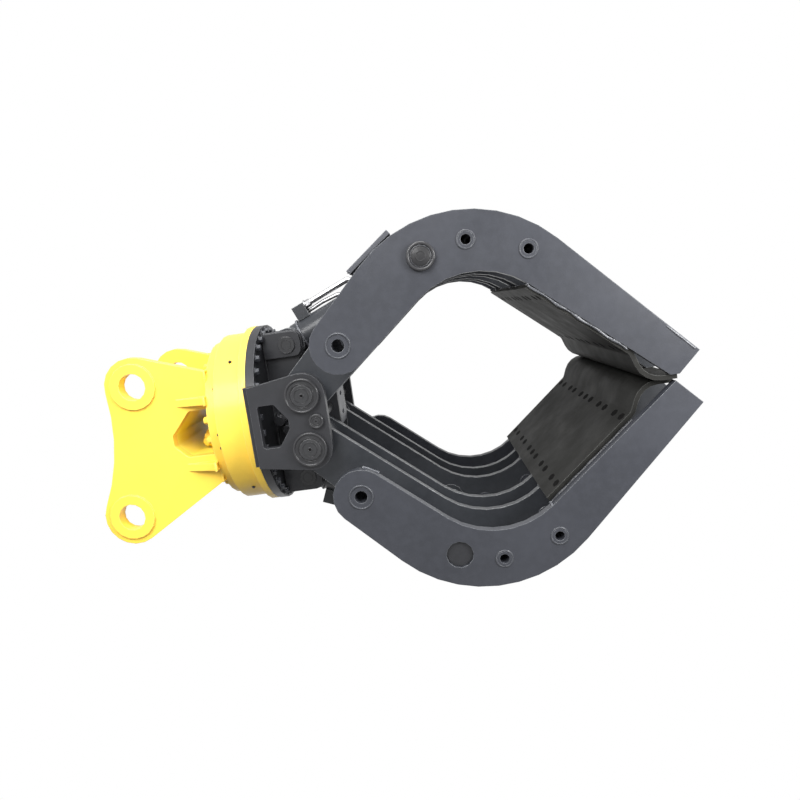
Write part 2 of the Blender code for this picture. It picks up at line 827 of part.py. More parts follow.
def lug_outline(inset):
    """The end of a cylinder lug, with its two lower corners rounded."""
    top = FRAME_UNDER_Z - SEAT_GAP - inset
    inner = LUG_INNER_X + inset
    outer = LUG_OUTER_X - inset
    end = LUG_END_Z + inset
    radius = LUG_CORNER_RADIUS - inset
    corners = [(inner, top), (outer, top), (outer, end), (inner, end)]
    return corners, [0, 0, radius, radius]


def frame_web():
    """An inner plate with both cylinder lugs and both hinge bosses."""
    corners, radii = lug_outline(0.0)
    lug = rounded(corners, radii)[1:]
    neck = (WEB_NECK_HALF, LUG_END_Z + LUG_CORNER_RADIUS)
    right = [lug[0]] + [point for point in lug[1:] if point[0] > LUG_INNER_X + LUG_CORNER_RADIUS / 2]
    right += [neck] + hinge_foot(*neck)
    outline = right + mirrored_x(right)
    high_end = WEB_OUTER_Y + LUG_PAD
    boss_end = THIRD_TINE_Y - INNER_TINE / 2 - RUNNING_GAP
    corners, radii = lug_outline(LUG_PAD_INSET)
    features = [Feature(seat((0.0, TIE_Z), TIE_RADIUS))]
    for side in (1, -1):
        pad = [(side * x, z) for x, z in rounded(corners, radii)]
        hole = seat((side * LUG_X, LUG_Z), LUG_PIN_RADIUS)
        features.append(Feature(hole, high_pad=pad, high_end=high_end))
        hole = seat((side * HINGE_X, HINGE_Z), HINGE_PIN_RADIUS)
        boss = circle((side * HINGE_X, HINGE_Z), HINGE_BOSS_RADIUS)
        features.append(Feature(hole, high_pad=boss, high_end=boss_end))
    return plate(outline, features, WEB_INNER_Y, WEB_OUTER_Y)


def frame_foot():
    """The plate that closes the box between the two webs from below."""
    half_y = WEB_INNER_Y - SEAT_GAP
    outline = [(FOOT_HALF, -half_y), (FOOT_HALF, half_y), (-FOOT_HALF, half_y), (-FOOT_HALF, -half_y)]
    slots = []
    for x in (FOOT_SLOT_X, -FOOT_SLOT_X):
        ends = arc((x, FOOT_SLOT_HALF), FOOT_SLOT_RADIUS, 0.0, math.pi, CORNER_STEPS)
        ends += arc((x, -FOOT_SLOT_HALF), FOOT_SLOT_RADIUS, math.pi, TURN, CORNER_STEPS)
        slots.append(Feature(ends))
    low = HINGE_Z - HINGE_RIM_RADIUS
    return plate(outline, slots, low, low + FOOT_PLATE, upright=False)


def capped_pin(radius, half, cap_radius, cap, step_radius, step):
    """A pin along Z with a stepped cap on its upper end and a bare lower end."""
    profile = [
        (0.0, -half),
        (radius, -half),
        (radius, half),
        (cap_radius, half),
        (cap_radius, half + cap),
        (step_radius, half + cap),
        (step_radius, half + cap + step),
        (0.0, half + cap + step),
    ]
    return turned(profile, radius)


def end_cap(radius, thick, step_radius, step):
    profile = [
        (0.0, 0.0),
        (radius, 0.0),
        (radius, thick),
        (step_radius, thick),
        (step_radius, thick + step),
        (0.0, thick + step),
    ]
    return turned(profile, radius)


def two_headed_bar(radius, half, cap_radius, cap):
    profile = [
        (0.0, -half - cap),
        (cap_radius, -half - cap),
        (cap_radius, -half),
        (radius, -half),
        (radius, half),
        (cap_radius, half),
        (cap_radius, half + cap),
        (0.0, half + cap),
    ]
    return turned(profile, radius)


def make_frame(grey, steel):
    place("frame_top_plate", frame_top(), grey)
    side_mesh = frame_side()
    web_mesh = frame_web()
    for label, turn in (("left", 0.0), ("right", math.pi)):
        place("frame_side_" + label, side_mesh, grey, rotation=(0.0, 0.0, turn))
        place("frame_web_" + label, web_mesh, grey, rotation=(0.0, 0.0, turn + math.pi))
    place("frame_foot_plate", frame_foot(), grey)
    place("slew_ring_gear", ring_gear(), steel)
    place("swivel_core", swivel_core(), steel)
    tie = two_headed_bar(TIE_RADIUS, SIDE_FACE_Y + SEAT_GAP, TIE_CAP_RADIUS, TIE_CAP)
    along_y = (LIE_ALONG_Y, 0.0, 0.0)
    place("frame_tie_bar", tie, grey, location=(0.0, 0.0, TIE_Z), rotation=along_y)
    face = SIDE_FACE_Y + SEAT_GAP
    pin = capped_pin(
        HINGE_PIN_RADIUS, face, HINGE_CAP_RADIUS, HINGE_CAP, HINGE_CAP_STEP_RADIUS, HINGE_CAP_STEP
    )
    cap = end_cap(HINGE_CAP_RADIUS, HINGE_CAP, HINGE_CAP_STEP_RADIUS, HINGE_CAP_STEP)
    lug_face = WEB_OUTER_Y + LUG_PAD + SEAT_GAP
    lug_pin = two_headed_bar(LUG_PIN_RADIUS, lug_face, LUG_CAP_RADIUS, LUG_CAP)
    for label, side in (("a", 1), ("b", -1)):
        hinge = (side * HINGE_X, 0.0, HINGE_Z)
        place("hinge_pin_" + label, pin, grey, location=hinge, rotation=along_y)
        beyond = (side * HINGE_X, face + SEAT_GAP, HINGE_Z)
        place("hinge_end_cap_" + label, cap, grey, location=beyond, rotation=(-LIE_ALONG_Y, 0.0, 0.0))
        place("lug_pin_" + label, lug_pin, grey, location=(side * LUG_X, 0.0, LUG_Z), rotation=along_y)


# Jaws


def back_line():
    """The outer edge from the eye to the back, as a point and a direction."""
    along = Vector((math.sin(JAW_BACK_ANGLE), -math.cos(JAW_BACK_ANGLE)))
    out = Vector((math.cos(JAW_BACK_ANGLE), math.sin(JAW_BACK_ANGLE)))
    return Vector((JAW_EYE_X, JAW_EYE_Z)) + out * JAW_EYE_RADIUS, along


def belly_line():
    """The inner edge from the eye to the belly, as a point and a direction."""
    along = Vector((math.sin(JAW_BELLY_ANGLE), -math.cos(JAW_BELLY_ANGLE)))
    inward = Vector((-math.cos(JAW_BELLY_ANGLE), -math.sin(JAW_BELLY_ANGLE)))
    return Vector((JAW_EYE_X, JAW_EYE_Z)) + inward * JAW_EYE_RADIUS, along


def tip_line():
    """The inner edge at the tip, as its last point and the direction back up."""
    return Vector((TIP_X, TIP_Z)), Vector((math.sin(JAW_BELLY_ANGLE), math.cos(JAW_BELLY_ANGLE)))


def tip_corner():
    return Vector((TIP_X, TIP_Z)) + direction(-math.pi / 4) * TIP_WIDTH


def fillet(corner, back, ahead, radius):
    """The arc that joins two edges which leave a corner in the given directions."""
    far = radius * 2
    steps = facets(radius, math.pi - back.angle(ahead))
    points = [tuple(corner + back * far), tuple(corner), tuple(corner + ahead * far)]
    return rounded(points, [0, radius, 0], closed=False, steps=steps)[1:-1]


def back_edge():
    point, along = back_line()
    rise = direction(math.pi / 4)
    corner = crossing(point, along, tip_corner(), rise)
    return fillet(corner, -along, -rise, JAW_BACK_RADIUS)


def belly_edge():
    point, along = belly_line()
    tip, rise = tip_line()
    corner = crossing(point, along, tip, rise)
    return fillet(corner, -rise, -along, JAW_BELLY_RADIUS)


def tip_end(is_cut_back):
    """The inner corner of the tip: sharp, or cut back where the shell's lip runs past it."""
    if not is_cut_back:
        return [(TIP_X, TIP_Z)]
    depth = LIP_ROOM - TIP_X
    return [(LIP_ROOM, TIP_Z - depth), (LIP_ROOM, TIP_Z + depth / math.tan(JAW_BELLY_ANGLE))]


def jaw_edges(is_cut_back):
    """The part of the outline that every tine shares, from the back round the tip to the belly."""
    points = back_edge()
    points.append(tuple(tip_corner()))
    return points + tip_end(is_cut_back) + belly_edge()


def outer_tine_outline(is_cut_back):
    start = math.pi + JAW_BELLY_ANGLE
    return jaw_edges(is_cut_back) + arc((JAW_EYE_X, JAW_EYE_Z), JAW_EYE_RADIUS, start, JAW_BACK_ANGLE)


def inner_tine_outline():
    """An inner tine runs on past the eye to the hinge and has a square shoulder behind it."""
    hub = Vector((HINGE_X, HINGE_Z))
    point, along = back_line()
    level = Vector((HINGE_X, HINGE_Z + JAW_HUB_RADIUS))
    shoulder = crossing(point, along, level, Vector((1.0, 0.0)))
    belly_start, belly_along = belly_line()
    start = tangent_angle(belly_start, hub, JAW_HUB_RADIUS, -1)
    end = arc(hub, JAW_HUB_RADIUS, start % TURN, math.pi / 2)
    corner = fillet(shoulder, Vector((-1.0, 0.0)), along, JAW_SHOULDER_RADIUS)
    return jaw_edges(True) + end + corner


def tie_holes():
    holes = []
    for centre in ((UPPER_TIE_X, UPPER_TIE_Z), (LOWER_TIE_X, LOWER_TIE_Z)):
        holes.append(Feature(seat(centre, TIE_TUBE_RADIUS)))
    return holes


def outer_tine(low, is_cut_back):
    holes = tie_holes()
    holes.append(Feature(seat((JAW_EYE_X, JAW_EYE_Z), EYE_TUBE_RADIUS)))
    holes.append(Feature(seat((ROD_PIN_X, ROD_PIN_Z), ROD_PIN_COLLAR_RADIUS, ROD_PIN_RADIUS)))
    return plate(outer_tine_outline(is_cut_back), holes, low, low + OUTER_TINE)


def hub_tine(low, tube_side):
    """Second tine from each side, with the hub tube that turns on the hinge pin."""
    high = low + INNER_TINE
    tube_length = SECOND_TINE_Y - THIRD_TINE_Y - INNER_TINE - SEAT_GAP
    hub = (HINGE_X, HINGE_Z)
    hole = bore(hub, HINGE_PIN_RADIUS)
    pad = circle(hub, JAW_HUB_TUBE_RADIUS)
    holes = tie_holes()
    if tube_side > 0:
        holes.append(Feature(hole, high_pad=pad, high_end=high + tube_length))
    else:
        holes.append(Feature(hole, low_pad=pad, low_end=low - tube_length))
    holes.append(Feature(seat((JAW_EYE_X, JAW_EYE_Z), EYE_TUBE_RADIUS)))
    holes.append(Feature(seat((ROD_PIN_X, ROD_PIN_Z), ROD_PIN_RADIUS)))
    return plate(inner_tine_outline(), holes, low, high)


def rod_tine(low, boss_side):
    """Third tine from each side, with the boss that holds the rod pin."""
    high = low + INNER_TINE
    boss_length = THIRD_TINE_Y - INNER_TINE / 2 - ROD_EYE_HALF - RUNNING_GAP
    rod = (ROD_PIN_X, ROD_PIN_Z)
    hole = seat(rod, ROD_PIN_RADIUS)
    pad = circle(rod, ROD_BOSS_RADIUS)
    holes = tie_holes()
    holes.append(Feature(bore((HINGE_X, HINGE_Z), HINGE_PIN_RADIUS)))
    if boss_side > 0:
        holes.append(Feature(hole, high_pad=pad, high_end=high + boss_length))
    else:
        holes.append(Feature(hole, low_pad=pad, low_end=low - boss_length))
    return plate(inner_tine_outline(), holes, low, high)


def jaw_tines():
    far_low = JAW_HALF_WIDTH - OUTER_TINE
    half = INNER_TINE / 2
    return [
        outer_tine(-JAW_HALF_WIDTH, True),
        hub_tine(-SECOND_TINE_Y - half, 1),
        rod_tine(-THIRD_TINE_Y - half, 1),
        rod_tine(THIRD_TINE_Y - half, -1),
        hub_tine(SECOND_TINE_Y - half, -1),
        outer_tine(far_low, False),
    ]


def rod_pin():
    """Pushed in from one side, so its collar fills the hole of the first tine."""
    face = JAW_HALF_WIDTH
    inner_face = JAW_HALF_WIDTH - OUTER_TINE
    far = -(THIRD_TINE_Y + INNER_TINE / 2 + ROD_PIN_END)
    profile = [
        (0.0, far),
        (ROD_PIN_RADIUS, far),
        (ROD_PIN_RADIUS, inner_face),
        (ROD_PIN_COLLAR_RADIUS, inner_face),
        (ROD_PIN_COLLAR_RADIUS, face + ROD_PIN_COLLAR),
        (ROD_PIN_RADIUS, face + ROD_PIN_COLLAR),
        (ROD_PIN_RADIUS, face + ROD_PIN_COLLAR + ROD_PIN_END),
        (0.0, face + ROD_PIN_COLLAR + ROD_PIN_END),
    ]
    return turned(profile, ROD_PIN_RADIUS)


def access_cover():
    """The disc that closes the hole through which the rod pin is driven out."""
    face = COVER_RECESS - JAW_HALF_WIDTH
    profile = [
        (0.0, face),
        (ROD_PIN_COLLAR_RADIUS, face),
        (ROD_PIN_COLLAR_RADIUS, face + COVER_PLATE),
        (0.0, face + COVER_PLATE),
    ]
    return turned(profile, ROD_PIN_RADIUS)


def shell_path():
    """The inner face of the shell plate: along the tines, then in an S to the jaw's meeting plane."""
    tip, rise = tip_line()
    inward = Vector((-rise.y, rise.x))
    face = tip + inward * (SHELL_THICK + SEAT_GAP)
    start = face + rise * ((SHELL_START_Z - face.y) / rise.y)
    bend = face + rise * ((SHELL_BEND_Z - face.y) / rise.y)
    slant = Vector((-math.sin(SHELL_BEND_ANGLE), -math.cos(SHELL_BEND_ANGLE)))
    meeting = JAW_MEETING_GAP / 2
    lip = bend + slant * ((meeting - bend.x) / slant.x)
    lip_end = TIP_Z + TIP_X - LIP_ROOM + LIP_END_GAP
    corners = [tuple(start), tuple(bend), tuple(lip), (meeting, lip_end)]
    radii = [0, SHELL_BEND_RADIUS, LIP_RADIUS, 0]
    points = rounded(corners, radii, closed=False, steps=CORNER_STEPS + 1)
    return [Vector(point) for point in points]


def path_normals(path):
    """The direction through the sheet at each point of its path, lengthened at the bends."""
    runs = [(ahead - behind).normalized() for behind, ahead in zip(path, path[1:])]
    before = [runs[0]] + runs
    after = runs + [runs[-1]]
    normals = []
    for first, second in zip(before, after):
        middle = (first + second).normalized()
        side = Vector((-middle.y, middle.x))
        normals.append(side / middle.dot(first))
    return normals


def slot_rows():
    """Middle of each slot across the shell, in groups."""
    gaps = len(SLOT_GROUPS) - 1
    inside = sum(count - 1 for count in SLOT_GROUPS) * SLOT_PITCH
    row = SHELL_HIGH_Y - SHELL_LOW_Y - 2 * SLOT_MARGIN
    group_gap = (row - inside) / gaps
    places = []
    y = SHELL_LOW_Y + SLOT_MARGIN
    for count in SLOT_GROUPS:
        for index in range(count):
            places.append(y + index * SLOT_PITCH)
        y += (count - 1) * SLOT_PITCH + group_gap
    return places


def slot_loop(middle, y):
    """A slot with pointed ends, in distance along the shell and in Y."""
    length = SLOT_LENGTH / 2
    width = SLOT_WIDTH / 2
    waist = length * SLOT_END_SHARE
    half = [(0.0, length), (-width, waist), (-width, -waist)]
    corners = half + [(-along, -aside) for along, aside in half]
    return [(middle + along, y + aside) for along, aside in corners]


def shell_plan(path):
    """The flat part of the shell with its slots, as loops in distance along the sheet and in Y."""
    flat = (path[1] - path[0]).length
    plan = [[(0.0, SHELL_HIGH_Y), (0.0, SHELL_LOW_Y), (flat, SHELL_LOW_Y), (flat, SHELL_HIGH_Y)]]
    upper = SLOT_HEAD_MARGIN + SLOT_LENGTH / 2
    lower = flat - SLOT_FOOT_MARGIN - SLOT_LENGTH / 2
    for middle in (upper, lower):
        plan += [slot_loop(middle, y) for y in slot_rows()]
    return plan


def shell_face(build, path, normals, depth):
    """One face of the sheet at a depth below its inner face; gives back its rim and its slot loops."""
    run = (path[1] - path[0]).normalized()
    plan = shell_plan(path)
    loops = []
    for loop in plan:
        spots = [(path[0] + run * along + normals[0] * depth, y) for along, y in loop]
        loops.append([build.verts.new((spot.x, y, spot.y)) for spot, y in spots])
    verts = [vert for loop in loops for vert in loop]
    for triangle in tessellate_polygon([[Vector((along, y, 0.0)) for along, y in loop] for loop in plan]):
        build.faces.new([verts[index] for index in triangle])
    low_side = loops[0][1:3]
    high_side = [loops[0][0], loops[0][3]]
    for point, normal in list(zip(path, normals))[2:]:
        spot = point + normal * depth
        low_side.append(build.verts.new((spot.x, SHELL_LOW_Y, spot.y)))
        high_side.append(build.verts.new((spot.x, SHELL_HIGH_Y, spot.y)))
        build.faces.new((low_side[-2], high_side[-2], high_side[-1], low_side[-1]))
    return [low_side + high_side[::-1]] + loops[1:]


def shell():
    """The wear plate inside a jaw, with two rows of slots and the S-bent lip."""
    path = shell_path()
    normals = path_normals(path)
    build = bmesh.new()
    inner_loops = shell_face(build, path, normals, 0.0)
    outer_loops = shell_face(build, path, normals, SHELL_THICK)
    for first, second in zip(inner_loops, outer_loops):
        for index in range(len(first)):
            build.faces.new((first[index - 1], first[index], second[index], second[index - 1]))
    return finished(build)


def guard_plate():
    """The flat plate over the outer edges of the first three tines."""
    point, along = back_line()
    rise = direction(math.pi / 4)
    corner = crossing(point, along, tip_corner(), rise)
    reach = JAW_BACK_RADIUS / math.sin(math.pi / 4)
    centre = corner + Vector((-reach, 0.0))
    out = Vector((math.cos(GUARD_TILT), math.sin(GUARD_TILT)))
    run = Vector((math.sin(GUARD_TILT), -math.cos(GUARD_TILT)))
    foot = centre + out * (JAW_BACK_RADIUS + SEAT_GAP)
    corners = [foot + run * GUARD_AHEAD, foot - run * GUARD_BEHIND]
    corners += [corners[1] + out * GUARD_PLATE, corners[0] + out * GUARD_PLATE]
    outline = [tuple(corner) for corner in corners]
    return plate(outline, [], GUARD_EDGE_INSET - JAW_HALF_WIDTH, INNER_TINE / 2 - THIRD_TINE_Y)


def moved(mesh, offset):
    """The mesh with its origin carried to a joint."""
    for vertex in mesh.vertices:
        vertex.co -= Vector(offset)
    return mesh


def make_jaws(grey, dark):
    hinge = (HINGE_X, 0.0, HINGE_Z)
    meshes = {}
    for number, mesh in enumerate(jaw_tines(), start=1):
        meshes["tine_" + str(number)] = (moved(mesh, hinge), dark if 1 < number < 6 else grey)
    full = JAW_HALF_WIDTH + TIE_TUBE_STEP
    eye_half = (JAW_HALF_WIDTH - SECOND_TINE_Y + INNER_TINE / 2) / 2
    eye_middle = JAW_HALF_WIDTH - eye_half
    tie = tube(TIE_TUBE_RADIUS, TIE_TUBE_BORE, -full, full)
    eye = tube(EYE_TUBE_RADIUS, EYE_TUBE_BORE, -eye_half, eye_half)
    pin = rod_pin()
    cover = access_cover()
    meshes["shell"] = (moved(shell(), hinge), dark)
    meshes["guard_plate"] = (moved(guard_plate(), hinge), grey)
    lying = (LIE_ALONG_Y, 0.0, 0.0)
    for label, side in (("a", 1), ("b", -1)):
        turn = 0.0 if side > 0 else math.pi
        holder = empty("jaw_" + label + "_hinge", (side * HINGE_X, 0.0, HINGE_Z), turn_z=turn)
        for name, (mesh, material) in meshes.items():
            place("jaw_" + label + "_" + name, mesh, material, parent=holder)
        ties = (("upper", UPPER_TIE_X, UPPER_TIE_Z), ("lower", LOWER_TIE_X, LOWER_TIE_Z))
        for name, x, z in ties:
            spot = (x - HINGE_X, 0.0, z - HINGE_Z)
            place("jaw_" + label + "_tie_tube_" + name, tie, grey, holder, spot, lying)
        for name, y in (("left", -eye_middle), ("right", eye_middle)):
            spot = (JAW_EYE_X - HINGE_X, y, JAW_EYE_Z - HINGE_Z)
            place("jaw_" + label + "_eye_tube_" + name, eye, grey, holder, spot, lying)
        spot = (ROD_PIN_X - HINGE_X, 0.0, ROD_PIN_Z - HINGE_Z)
        place("jaw_" + label + "_rod_pin", pin, grey, holder, spot, lying)
        place("jaw_" + label + "_access_cover", cover, grey, holder, spot, lying)


# Cylinders


def barrel():
    """The tube with its base eye and the two oil port blocks."""
    mesh = turned(
        [
            (0.0, -LUG_PIN_RADIUS),
            (CYLINDER_RADIUS, -LUG_PIN_RADIUS),
            (CYLINDER_RADIUS, -CYLINDER_LENGTH),
            (0.0, -CYLINDER_LENGTH),
        ],
        CYLINDER_RADIUS,
    )
    eye = across(CYLINDER_EYE_RADIUS, CYLINDER_EYE_HALF)
    mesh = combined(mesh, eye, "UNION", LIE_ALONG_Y)
    port_middle = (CYLINDER_RADIUS + PORT_HEIGHT / 2 - OVERRUN, 0.0, -PORT_NEAR - PORT_LENGTH / 2)
    mesh = combined(mesh, block((PORT_HEIGHT, PORT_WIDTH, PORT_LENGTH), port_middle), "UNION")
    gland_z = -CYLINDER_LENGTH + PORT_GLAND_LENGTH
    port_middle = (CYLINDER_RADIUS + PORT_GLAND_HEIGHT / 2 - OVERRUN, 0.0, gland_z)
    size = (PORT_GLAND_HEIGHT, PORT_GLAND_WIDTH, PORT_GLAND_LENGTH)
    mesh = combined(mesh, block(size, port_middle), "UNION")
    hollow = turned(
        [
            (0.0, -CYLINDER_NECK),
            (CYLINDER_BORE_RADIUS, -CYLINDER_NECK),
            (CYLINDER_BORE_RADIUS, -CYLINDER_LENGTH - OVERRUN),
            (0.0, -CYLINDER_LENGTH - OVERRUN),
        ],
        CYLINDER_RADIUS,
    )
    mesh = combined(mesh, hollow, "DIFFERENCE")
    return combined(mesh, running_hole(LUG_PIN_RADIUS, WEB_INNER_Y), "DIFFERENCE", LIE_ALONG_Y)


def gland():
    """The ring that closes the barrel; the rod runs through it with room to swing."""
    low = -CYLINDER_LENGTH - SEAT_GAP
    inner = ROD_RADIUS + GLAND_PLAY
    plug = CYLINDER_BORE_RADIUS - SEAT_GAP
    profile = [
        (inner, low + GLAND_DEPTH),
        (plug, low + GLAND_DEPTH),
        (plug, low),
        (GLAND_RADIUS, low),
        (GLAND_RADIUS, low - GLAND_FLANGE),
        (inner, low - GLAND_FLANGE),
    ]
    return turned(profile, CYLINDER_RADIUS, hollow=True)


def rod():
    """The piston rod, drawn from the rod pin upwards."""
    reach = math.hypot(ROD_PIN_X - LUG_X, ROD_PIN_Z - LUG_Z)
    piston_low = reach - CYLINDER_LENGTH + GLAND_DEPTH + PISTON_MARGIN
    piston_top = piston_low + PISTON_THICK
    profile = [
        (0.0, 0.0),
        (ROD_RADIUS, 0.0),
        (ROD_RADIUS, piston_low),
        (PISTON_RADIUS, piston_low),
        (PISTON_RADIUS, piston_top),
        (0.0, piston_top),
    ]
    mesh = turned(profile, PISTON_RADIUS)
    mesh = combined(mesh, across(ROD_EYE_RADIUS, ROD_EYE_HALF), "UNION", LIE_ALONG_Y)
    hole = running_hole(ROD_PIN_RADIUS, ROD_EYE_HALF + OVERRUN)
    return combined(mesh, hole, "DIFFERENCE", LIE_ALONG_Y)


def pipe(name, material, parent):
    """The oil pipe from the port block along the barrel and down to the gland end."""
    start_z = -PORT_NEAR - PORT_LENGTH - SEAT_GAP
    end_x = CYLINDER_RADIUS + PORT_GLAND_HEIGHT - OVERRUN + SEAT_GAP
    end_z = -CYLINDER_LENGTH + PORT_GLAND_LENGTH
    run_x = end_x + PIPE_BEND + PIPE_RADIUS
    corners = [(run_x, start_z), (run_x, end_z), (end_x, end_z)]
    radii = [0, PIPE_BEND, 0]
    curve = bpy.data.curves.new(name, "CURVE")
    curve.dimensions = "3D"
    curve.bevel_depth = PIPE_RADIUS
    curve.bevel_resolution = 2
    curve.use_fill_caps = True
    points = rounded(corners, radii, closed=False)
    spline = curve.splines.new("POLY")
    spline.points.add(len(points) - 1)
    for target, (x, z) in zip(spline.points, points):
        target.co = (x, 0.0, z, 1.0)
    curve.materials.append(material)
    thing = bpy.data.objects.new(name, curve)
    thing.parent = parent
    bpy.context.scene.collection.objects.link(thing)


def make_cylinders(grey, chrome, steel):
    barrel_mesh = barrel()
    gland_mesh = gland()
    rod_mesh = rod()
    lean = math.atan2(ROD_PIN_X - LUG_X, LUG_Z - ROD_PIN_Z)
    for label, side in (("a", 1), ("b", -1)):
        turn = 0.0 if side > 0 else math.pi
        base = empty("cylinder_" + label + "_base", (side * LUG_X, 0.0, LUG_Z), -lean, turn)
        place("cylinder_" + label + "_barrel", barrel_mesh, grey, parent=base)
        place("cylinder_" + label + "_gland", gland_mesh, steel, parent=base)
        pipe("cylinder_" + label + "_pipe", steel, base)
        far = empty("cylinder_" + label + "_far", (side * ROD_PIN_X, 0.0, ROD_PIN_Z), -lean, turn)
        place("cylinder_" + label + "_rod", rod_mesh, chrome, parent=far)


def main():
    clear_scene()
    yellow = paint("yellow_paint", (0.93, 0.72, 0.04), 0.42, 0.0)
    grey = paint("grey_paint", (0.105, 0.112, 0.128), 0.40, 0.0)
    dark = paint("dark_grey_paint", (0.060, 0.064, 0.070), 0.48, 0.0)
    steel = paint("machined_steel", (0.42, 0.42, 0.43), 0.34, 1.0)
    chrome = paint("hard_chrome", (0.75, 0.76, 0.78), 0.12, 1.0)
    make_head(yellow, steel)
    make_frame(grey, steel)
    make_jaws(grey, dark)
    make_cylinders(grey, chrome, steel)


main()
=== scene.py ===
"""Looks of a rotating log grapple: enamel, welds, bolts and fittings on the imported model.

Metres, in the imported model's own frame: +Z up to the stick, X across the jaws, Y along the hinge pins.
"""

import json
import math
import random

import bmesh
import bpy
from mathutils import Matrix, Vector

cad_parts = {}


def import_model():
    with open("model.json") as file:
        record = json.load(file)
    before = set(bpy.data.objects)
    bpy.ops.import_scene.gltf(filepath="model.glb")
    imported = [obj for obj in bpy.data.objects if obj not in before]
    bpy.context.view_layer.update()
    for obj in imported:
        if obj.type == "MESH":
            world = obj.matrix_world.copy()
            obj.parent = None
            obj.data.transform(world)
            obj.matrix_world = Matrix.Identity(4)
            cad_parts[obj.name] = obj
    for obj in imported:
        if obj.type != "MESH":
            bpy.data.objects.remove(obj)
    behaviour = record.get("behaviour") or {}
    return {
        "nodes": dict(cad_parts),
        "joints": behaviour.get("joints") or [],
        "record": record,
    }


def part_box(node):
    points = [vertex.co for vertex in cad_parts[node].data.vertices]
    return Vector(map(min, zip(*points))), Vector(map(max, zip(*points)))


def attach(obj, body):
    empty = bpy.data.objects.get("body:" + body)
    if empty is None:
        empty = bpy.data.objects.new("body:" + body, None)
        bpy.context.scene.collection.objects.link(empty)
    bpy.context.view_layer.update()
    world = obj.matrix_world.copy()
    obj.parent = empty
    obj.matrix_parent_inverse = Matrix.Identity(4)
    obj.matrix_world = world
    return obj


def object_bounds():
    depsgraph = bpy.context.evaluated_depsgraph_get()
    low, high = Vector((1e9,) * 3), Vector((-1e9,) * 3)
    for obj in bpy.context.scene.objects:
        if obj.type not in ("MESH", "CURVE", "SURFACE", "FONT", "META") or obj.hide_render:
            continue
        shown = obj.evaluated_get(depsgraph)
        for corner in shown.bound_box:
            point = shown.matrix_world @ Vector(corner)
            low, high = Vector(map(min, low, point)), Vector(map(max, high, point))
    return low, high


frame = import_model()
CAD_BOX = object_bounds()
NODES = frame["nodes"]
RANDOM = random.Random(7)

TURN = 2 * math.pi
ALONG_PINS = Vector((0, 1, 0))
UPWARD = Vector((0, 0, 1))
HALF_TURN = Matrix.Rotation(math.pi, 4, "Z")

# Camera, fitted to the photograph
CAMERA_PLACE = Vector((0.278314, -2.033861, -0.905334))
CAMERA_YAW = -0.0515395659
CAMERA_PITCH = -0.145207262
CAMERA_ROLL = -0.141609457
CAMERA_LENS = 28.8
CAMERA_SENSOR = 36.0
CAMERA_NEAR = 0.05

# Floor, fading out from FLOOR_FADE to its rim
FLOOR_DROP = 1.7
FLOOR_RADIUS = 1.35
FLOOR_FADE = 0.8
FLOOR_STEPS = 96
FLOOR_COLOUR = (0.86, 0.86, 0.86, 1)
FLOOR_ROUGHNESS = 0.9

# Glow of the studio: (place from -X to +X as a share, brightness), then front and back
SKY_STRENGTH = 0.8
GLOW_RAMP = ((0.25, 0.05), (0.72, 1.0))
GLOW_IN_FRONT = 1.8
GLOW_BEHIND = 0.4

# Lamps: name, place, side and power
LAMP_AIM = Vector((0.0, 0.0, -0.75))
LAMPS = (
    ("jaw_lamp", (0.5, -1.4, -2.3), 0.8, 45),
    ("head_lamp", (1.5, -2.0, -0.1), 1.2, 70),
    ("top_lamp", (2.4, -0.6, -0.9), 1.6, 68),
)

# Shading of the plates
SMOOTH_ANGLE = math.radians(38)
MERGE_DISTANCE = 0.00003
BEVEL_SAMPLES = 6
BEVEL_FLAT = 0.995
BEVEL_EDGE = 0.86

# Enamels: material name, base colour, colour of the edges (paint wear and painted highlight), roughness
ENAMELS = {
    "grey": ("grey_enamel", (0.032, 0.034, 0.041), (0.15, 0.155, 0.165), 0.38),
    "frame": ("frame_enamel", (0.0195, 0.020, 0.0225), (0.11, 0.112, 0.12), 0.42),
    "cap": ("cap_enamel", (0.023, 0.0235, 0.025), (0.12, 0.12, 0.125), 0.36),
    "rim": ("rim_enamel", (0.028, 0.028, 0.03), (0.034, 0.034, 0.036), 0.20),
    # Groove: dark wires in the grooves of caps and a dark disc on the rod pin's face, painted shade.
    "groove": ("groove_shade_enamel", (0.011, 0.011, 0.012), (0.016, 0.016, 0.017), 0.5),
    "weld": ("weld_enamel", (0.024, 0.025, 0.029), (0.045, 0.046, 0.05), 0.45),
    # Guard: lighter than the jaws' grey, painted light on faces that lie in shade.
    "guard": ("guard_enamel_painted_light", (0.052, 0.054, 0.062), (0.20, 0.205, 0.215), 0.38),
    # Bead: lighter than the other welds, with bright edges: painted highlight glinting on the welds.
    "bead": ("bead_enamel_painted_glint", (0.05, 0.052, 0.06), (0.40, 0.41, 0.43), 0.22),
    # Dark grey: its very light, wide edges are painted highlight besides paint wear.
    "dark": ("inner_enamel_highlit_edges", (0.026, 0.028, 0.032), (0.34, 0.345, 0.355), 0.36),
    "yellow": ("yellow_enamel", (0.90, 0.60, 0.072), (1.0, 0.80, 0.24), 0.40),
    # Port liner: a lighter yellow than the head's, painted light in the shade behind the hose window.
    "painted_light_yellow": ("liner_enamel_painted_light", (1.0, 0.84, 0.11), (1.0, 0.90, 0.30), 0.40),
}

# How some enamels differ: shade of their clouds, shade of their flecks, width of their lighter edges (paint
# wear and painted highlight)
ENAMEL_EXTRAS = {
    "dark": {"edge_radius": 0.0035},
    "yellow": {"deep": 0.93, "pale": 1.05},
    "painted_light_yellow": {"deep": 0.95, "pale": 1.0},
}

